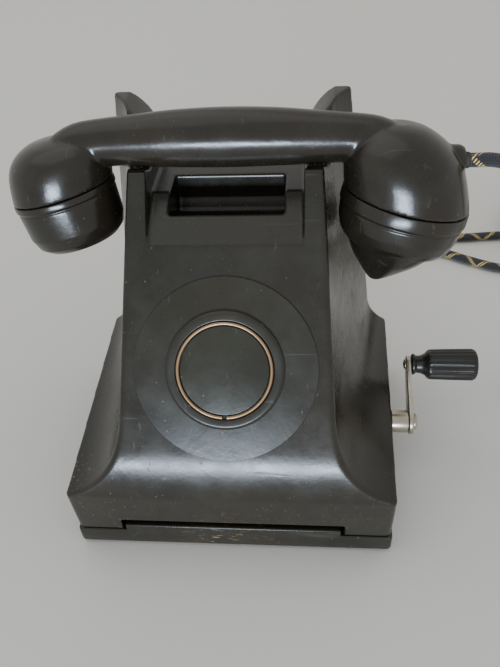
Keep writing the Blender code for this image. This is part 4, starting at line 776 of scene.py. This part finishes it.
finish("wire_ring", bm, "root", RING_METAL, ("snap_ring",), 50.0)

# %% [markdown]
# ## The crank
# A nickel bush carries the shaft. A flat arm swings on it, and a fluted grip turns on a
# riveted spindle at the arm's end.

# %% Crank metal
ARM_ANGLE, ARM_LENGTH = radians(29.0), 34.8
GRIP_AT = (CRANK_Y + ARM_LENGTH * cos(ARM_ANGLE), CRANK_Z + ARM_LENGTH * sin(ARM_ANGLE))
GRIP_PLACE = place_x(*GRIP_AT)
BUSH_IN = 7.0
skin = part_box("crank_bush")[0][0] / MM + BUSH_IN
turned("shaft_bush", [(3.35, skin - BUSH_IN), (5.2, skin - BUSH_IN), (5.2, skin + 0.3),
                      (6.6, skin + 0.7), (6.6, 98.6), (3.35, 98.6), (3.35, skin - BUSH_IN)],
       CRANK_PLACE, "root", NICKEL, ("crank_bush",), 64, 0.4)
turned("cap_nut", [(3.3, 101.7), (5.0, 101.7), (5.0, 102.6), (4.0, 103.6), (0.0, 104.0),
                   (0.0, 102.6), (3.3, 102.6), (3.3, 101.7)], CRANK_PLACE, "crank", NICKEL,
       ("crank_cap_nut",), 48, 0.3)
turned("grip_rivet", [(0.0, 97.2), (2.6, 97.8), (3.0, 98.4), (3.0, 98.7), (1.5, 98.7),
                      (1.5, 136.0), (2.6, 136.0), (2.6, 137.6), (0.0, 137.6)], GRIP_PLACE, "crank",
       NICKEL, ("grip_spindle",), 40, 0.25)
big_turns = [pi / 2 + 0.07 + (pi - 0.14) * i / 24 for i in range(25)]
small_turns = [-pi / 2 + pi * i / 18 for i in range(19)]
big = [(7.5 * cos(a), 7.5 * sin(a)) for a in big_turns]
small = [(ARM_LENGTH + 5.0 * cos(a), 5.0 * sin(a)) for a in small_turns]
arm_bm = outline_bm(big + small, "YZ", 0.0, 2.4)
rims = [edge for edge in arm_bm.edges if abs(edge.verts[0].co.x - edge.verts[1].co.x) < 1e-6]
bmesh.ops.bevel(arm_bm, geom=rims, offset=0.35, segments=2, profile=0.5, affect="EDGES",
                material=-1)
arm_place = Matrix.Translation((99.0, CRANK_Y, CRANK_Z)) @ Matrix.Rotation(ARM_ANGLE, 4, "X")
bmesh.ops.transform(arm_bm, matrix=arm_place, verts=arm_bm.verts)
arm_plate = finish("arm_plate", arm_bm, "crank", NICKEL, ("crank_arm",), 30.0)
soften(arm_plate, cuts=(tool(rod_bm(3.3, 90.0, 110.0, CRANK_PLACE)),
                        tool(rod_bm(1.8, 90.0, 110.0, GRIP_PLACE))), grid=0, sharp=30.0)

# %% [markdown]
# The grip's flutes come from its outline: each ring is drawn in by a smooth wave that goes twenty
# times round it, deep along the barrel, and runs back out to round at the neck.

# %% Fluted grip
FLUTES = 20
grip_stations = [(102.0, 5.2, 0.0), (102.6, 6.2, 0.0), (103.4, 6.4, 0.0), (105.0, 5.2, 0.0),
                 (107.5, 5.4, 0.0), (110.0, 6.6, 0.0), (111.4, 8.3, 0.0), (112.4, 8.9, 0.5),
                 (113.4, 9.0, 1.0), (125.0, 9.3, 1.0), (137.0, 9.5, 1.0), (138.2, 9.3, 0.3),
                 (139.2, 8.7, 0.0), (140.0, 7.4, 0.0)]
grip_rings = []
for x, radius, depth in grip_stations:
    ring = []
    for i in range(FLUTES * 6):
        a = 2 * pi * i / (FLUTES * 6)
        r_here = radius - 0.55 * depth * (0.5 + 0.5 * cos(FLUTES * a)) ** 0.7
        ring.append(Vector((x, GRIP_AT[0] + r_here * cos(a), GRIP_AT[1] + r_here * sin(a))))
    grip_rings.append(ring)
grip = finish("fluted_grip", lofted_bm(grip_rings), "grip", GRIP, ("crank_grip",),
              40.0)
soften(grip, cuts=(tool(rod_bm(1.85, 90.0, 135.2, GRIP_PLACE, 32)),
                   tool(rod_bm(3.0, 135.0, 150.0, GRIP_PLACE, 32))), grid=0, sharp=40.0)

# %% [markdown]
# ## The handset
# The handle swells to the middle and bends down into two shells that carry the screwed caps.
# Handle, shells and the cord's boss are one moulding, so they are joined, hollowed and softened.

# %% Handset body
HANDLE_Z, HANDLE_TIP, LEAN = 192.6, radians(-11.0), radians(13.0)
HANDSET_PLACE = Matrix.Translation((0.0, HANDLE_Y, HANDLE_Z)) @ Matrix.Rotation(HANDLE_TIP, 4, "X")
half = [(85.5, -17.0, 66.0, 14.0, 13.2), (83.0, -11.6, 56.0, 13.6, 13.2),
        (79.5, -7.4, 44.0, 12.8, 12.6), (72.0, -3.2, 20.0, 11.8, 12.0),
        (61.0, -1.4, 6.0, 11.7, 11.7), (45.0, -0.8, 1.5, 12.6, 12.6),
        (25.0, -0.2, 0.5, 13.8, 13.8)]
stations = [(-x, z, a, ry, rz) for x, z, a, ry, rz in half] + [(0.0, 0.0, 0.0, 14.4, 14.4)]
stations += [(x, z, -a, ry, rz) for x, z, a, ry, rz in reversed(half)]


def eased(rows, cuts):
    """Rows between the given ones, on a smooth curve through every column."""
    def between(p, q, r, s, t):
        return 0.5 * (2 * q + (r - p) * t + (2 * p - 5 * q + 4 * r - s) * t * t
                      + (3 * q - p - 3 * r + s) * t ** 3)

    ends = [rows[0]] + list(rows) + [rows[-1]]
    made = []
    for four in zip(ends, ends[1:], ends[2:], ends[3:]):
        for i in range(cuts):
            made.append([between(*column, i / cuts) for column in zip(*four)])
    return made + [list(rows[-1])]


handle_rings = []
for x, z, angle, ry, rz in eased(stations, 3):
    lean = radians(angle)
    handle_rings.append([HANDSET_PLACE @ Vector((x - rz * sin(a) * sin(lean), ry * cos(a),
                                                 z + rz * sin(a) * cos(lean)))
                         for a in full_turn(48)])
handset_shell = finish("handset_shell", lofted_bm(handle_rings), "handset", HANDSET,
                       ("handset_body",))
EAR_SEAT, MOUTH_SEAT, EAR_R, MOUTH_R = (-86.0, -24.8), (89.4, -31.2), 26.8, 32.0
EAR_LEVELS = ((0.0, 0.0, 26.8, 26.8, 1.0), (6.0, 0.0, 26.7, 26.7, 0.85),
              (12.0, 0.0, 26.0, 26.2, 0.65), (17.0, 0.5, 24.4, 24.8, 0.5),
              (21.0, 1.2, 21.0, 21.6, 0.35), (24.4, 2.0, 15.4, 16.0, 0.25),
              (26.4, 2.4, 7.0, 8.0, 0.2))
MOUTH_LEVELS = ((0.0, 0.0, 32.0, 32.0, 1.0), (6.0, 0.6, 31.4, 31.6, 0.85),
                (13.0, 1.5, 30.4, 31.0, 0.7), (20.0, 2.5, 28.4, 29.2, 0.5),
                (26.0, 4.0, 24.6, 25.6, 0.35), (31.0, 5.0, 19.0, 20.0, 0.25),
                (34.8, 5.4, 12.0, 13.0, 0.2), (36.4, 5.4, 5.0, 6.0, 0.2))


def dome_bm(side, seat, levels, inset):
    """One end's shell, or its hollow: rings that tilt from level at the top to the leaning rim."""
    rings = []
    for height, shift, half_x, half_y, share in eased(levels, 3):
        tilt = -side * LEAN * share
        drop = min(inset, height)
        z = seat[1] + height - drop - (1.0 if inset and height == 0.0 else 0.0)
        ring = []
        for a in full_turn(64):
            out = (half_x - inset) * cos(a)
            ring.append(HANDSET_PLACE @ Vector((seat[0] - side * shift + out * cos(tilt),
                                                (half_y - inset) * sin(a), z + out * sin(tilt))))
        rings.append(ring)
    return lofted_bm(rings)


BOSS_PLACE = axis_frame(HANDSET_PLACE @ Vector((112.0, 0.0, -13.4)), (1.0, 0.0, 0.0))
domes = [tool(dome_bm(-1, EAR_SEAT, EAR_LEVELS, 0.0)),
         tool(dome_bm(1, MOUTH_SEAT, MOUTH_LEVELS, 0.0))]
hollows = [tool(dome_bm(-1, EAR_SEAT, EAR_LEVELS[:-1], 5.0)),
           tool(dome_bm(1, MOUTH_SEAT, MOUTH_LEVELS[:-1], 5.0))]
boss = tool(turned_bm([(0.0, -14.0), (8.0, -14.0), (7.6, 1.6), (6.2, 4.0), (0.0, 4.0)], BOSS_PLACE,
                      48, 0.8))
soften(handset_shell, joins=(*domes, boss),
       cuts=(*hollows, tool(rod_bm(4.4, -3.0, 9.0, BOSS_PLACE))), grid=0.7, passes=8, keep=0.3)
turned("cord_sleeve", [(0.0, -2.6), (4.0, -2.6), (4.0, 5.4), (3.7, 6.4), (0.0, 6.4)], BOSS_PLACE,
       "handset", RUBBER, ("cord_relief",), 40, 0.3)


# %% Caps
def cap_place(side, seat):
    """Local Z points out of the cap, down and in."""
    return HANDSET_PLACE @ axis_frame((seat[0], 0.0, seat[1]),
                                      (-side * sin(LEAN), 0.0, -cos(LEAN)), up=(0.0, 1.0, 0.0))


EAR_PLACE, MOUTH_PLACE = cap_place(-1, EAR_SEAT), cap_place(1, MOUTH_SEAT)
r = EAR_R
turned("ear_cap", [(r - 3.4, 0.3), (r + 0.2, 0.3), (r + 0.2, 3.4), (r - 0.8, 4.2), (r - 0.5, 5.4),
                   (r - 1.2, 19.0), (r - 3.4, 25.0), (r - 7.0, 28.0), (3.0, 26.0), (3.0, 23.6),
                   (r - 7.6, 25.4), (r - 5.6, 22.8), (r - 4.0, 18.0), (r - 3.4, 0.3)], EAR_PLACE,
       "handset", HANDSET, ("earpiece_cap",), 128, 0.5)
r = MOUTH_R
mouth_cap = turned("mouth_cap", [(r - 3.4, 0.3), (r + 0.2, 0.3), (r + 0.4, 6.6), (r - 0.8, 7.6),
                                 (r - 0.4, 8.8), (r - 1.2, 15.0), (r - 3.0, 20.0), (r - 5.4, 23.4),
                                 (6.0, 23.4), (6.0, 21.0), (r - 6.8, 21.0), (r - 5.0, 18.6),
                                 (r - 4.0, 13.0), (r - 3.4, 0.3)], MOUTH_PLACE, "handset", HANDSET,
                   ("mouthpiece_cap",), 128, 0.5)
hood_rows = [(18.0, 22.0, 22.0, 16.0), (22.5, 23.6, 24.0, 16.0), (31.0, 19.0, 19.0, 17.5),
             (39.0, 11.0, 11.5, 18.5), (44.6, 5.0, 5.4, 19.3), (46.5, 2.4, 2.8, 19.5)]
hood_place = MOUTH_PLACE @ Matrix.Rotation(radians(-15.0), 4, "Z")
hood_rings = [[hood_place @ Vector((shift - 16.0 + rb * cos(a), ra * sin(a), z))
               for a in full_turn(64)]
              for z, ra, rb, shift in eased(hood_rows, 4)]
soften(mouth_cap, joins=(tool(lofted_bm(hood_rings)),), grid=0, sharp=38.0)

# %% [markdown]
# ## Glands
# Each cord enters the back of the case through a rubber ring.

# %% Cord glands
for name, node, x in (("handset_lead_gland", "handset_cord_gland", GLANDS_X[0]),
                      ("line_lead_gland", "line_cord_gland", GLANDS_X[1])):
    turned(name, [(3.8, -5.5), (4.9, -5.5), (4.9, 0.3), (7.2, 0.3), (7.2, 1.6), (6.0, 3.4),
                  (3.8, 3.6), (3.8, -5.5)], axis_frame((x, REAR_Y, GLAND_Z), (0.0, 1.0, 0.0)),
           "root", RUBBER, (node,), 48, 0.4)

# %% [markdown]
# ## The works
# The pieces inside keep their shape from the engineering model, so only their finish changes.
# The record says which slot each node has, and each slot has its finish here.

# %% Finishes for the works
FINISHES = {"bakelite": CASE, "bakelite_dark": GRIP, "brass": BRASS, "nickel": NICKEL,
            "steel": STEEL, "magnet_iron": IRON, "winding": WINDING, "rubber": RUBBER,
            "cord_braid": BRAID, "card": CARD, "fibre": FIBRE}
slots = {entry["node"]: entry["material_slot"] for entry in frame["record"]["subparts"]}
for name, obj in frame["nodes"].items():
    obj.data.materials.clear()
    obj.data.materials.append(FINISHES[slots[name]])
print("dressed", len(slots), "nodes")

# %% [markdown]
# ## Floor and light
# A plain pale floor, one wide, low and cool window in front, a soft ceiling light, and an even
# grey room all round.

# %% Floor
bm = bmesh.new()
bmesh.ops.create_grid(bm, x_segments=2, y_segments=2, size=3.0)
floor_mesh = bpy.data.meshes.new("floor")
bm.to_mesh(floor_mesh)
bm.free()
floor = bpy.data.objects.new("floor", floor_mesh)
bpy.context.scene.collection.objects.link(floor)
floor_recipe = Recipe("pale_floor")
floor_mesh.materials.append(floor_recipe.set(Base_Color=(0.8, 0.79, 0.77), Roughness=0.9))


# %% Lights
def area_light(name, at, aim, size, power, colour):
    data = bpy.data.lights.new(name, "AREA")
    data.shape, data.size, data.size_y = "RECTANGLE", size[0], size[1]
    data.energy, data.color = power, colour
    light = bpy.data.objects.new(name, data)
    turn = (Vector(at) - Vector(aim)).to_track_quat("Z", "Y").to_matrix().to_4x4()
    light.matrix_world = Matrix.Translation(at) @ turn
    bpy.context.scene.collection.objects.link(light)


area_light("window", (-0.2, -2.0, 0.11), (0.0, 0.0, 0.08), (0.9, 0.18), 46.0, (0.72, 0.85, 1.0))
area_light("ceiling", (-0.5, 0.5, 1.9), (0.0, 0.0, 0.0), (1.8, 1.8), 5.0, (1.0, 0.98, 0.95))
world = bpy.data.worlds.new("room")
world.use_nodes = True
world.node_tree.nodes["Background"].inputs["Color"].default_value = (0.58, 0.58, 0.56, 1.0)
world.node_tree.nodes["Background"].inputs["Strength"].default_value = 1.2
bpy.context.scene.world = world
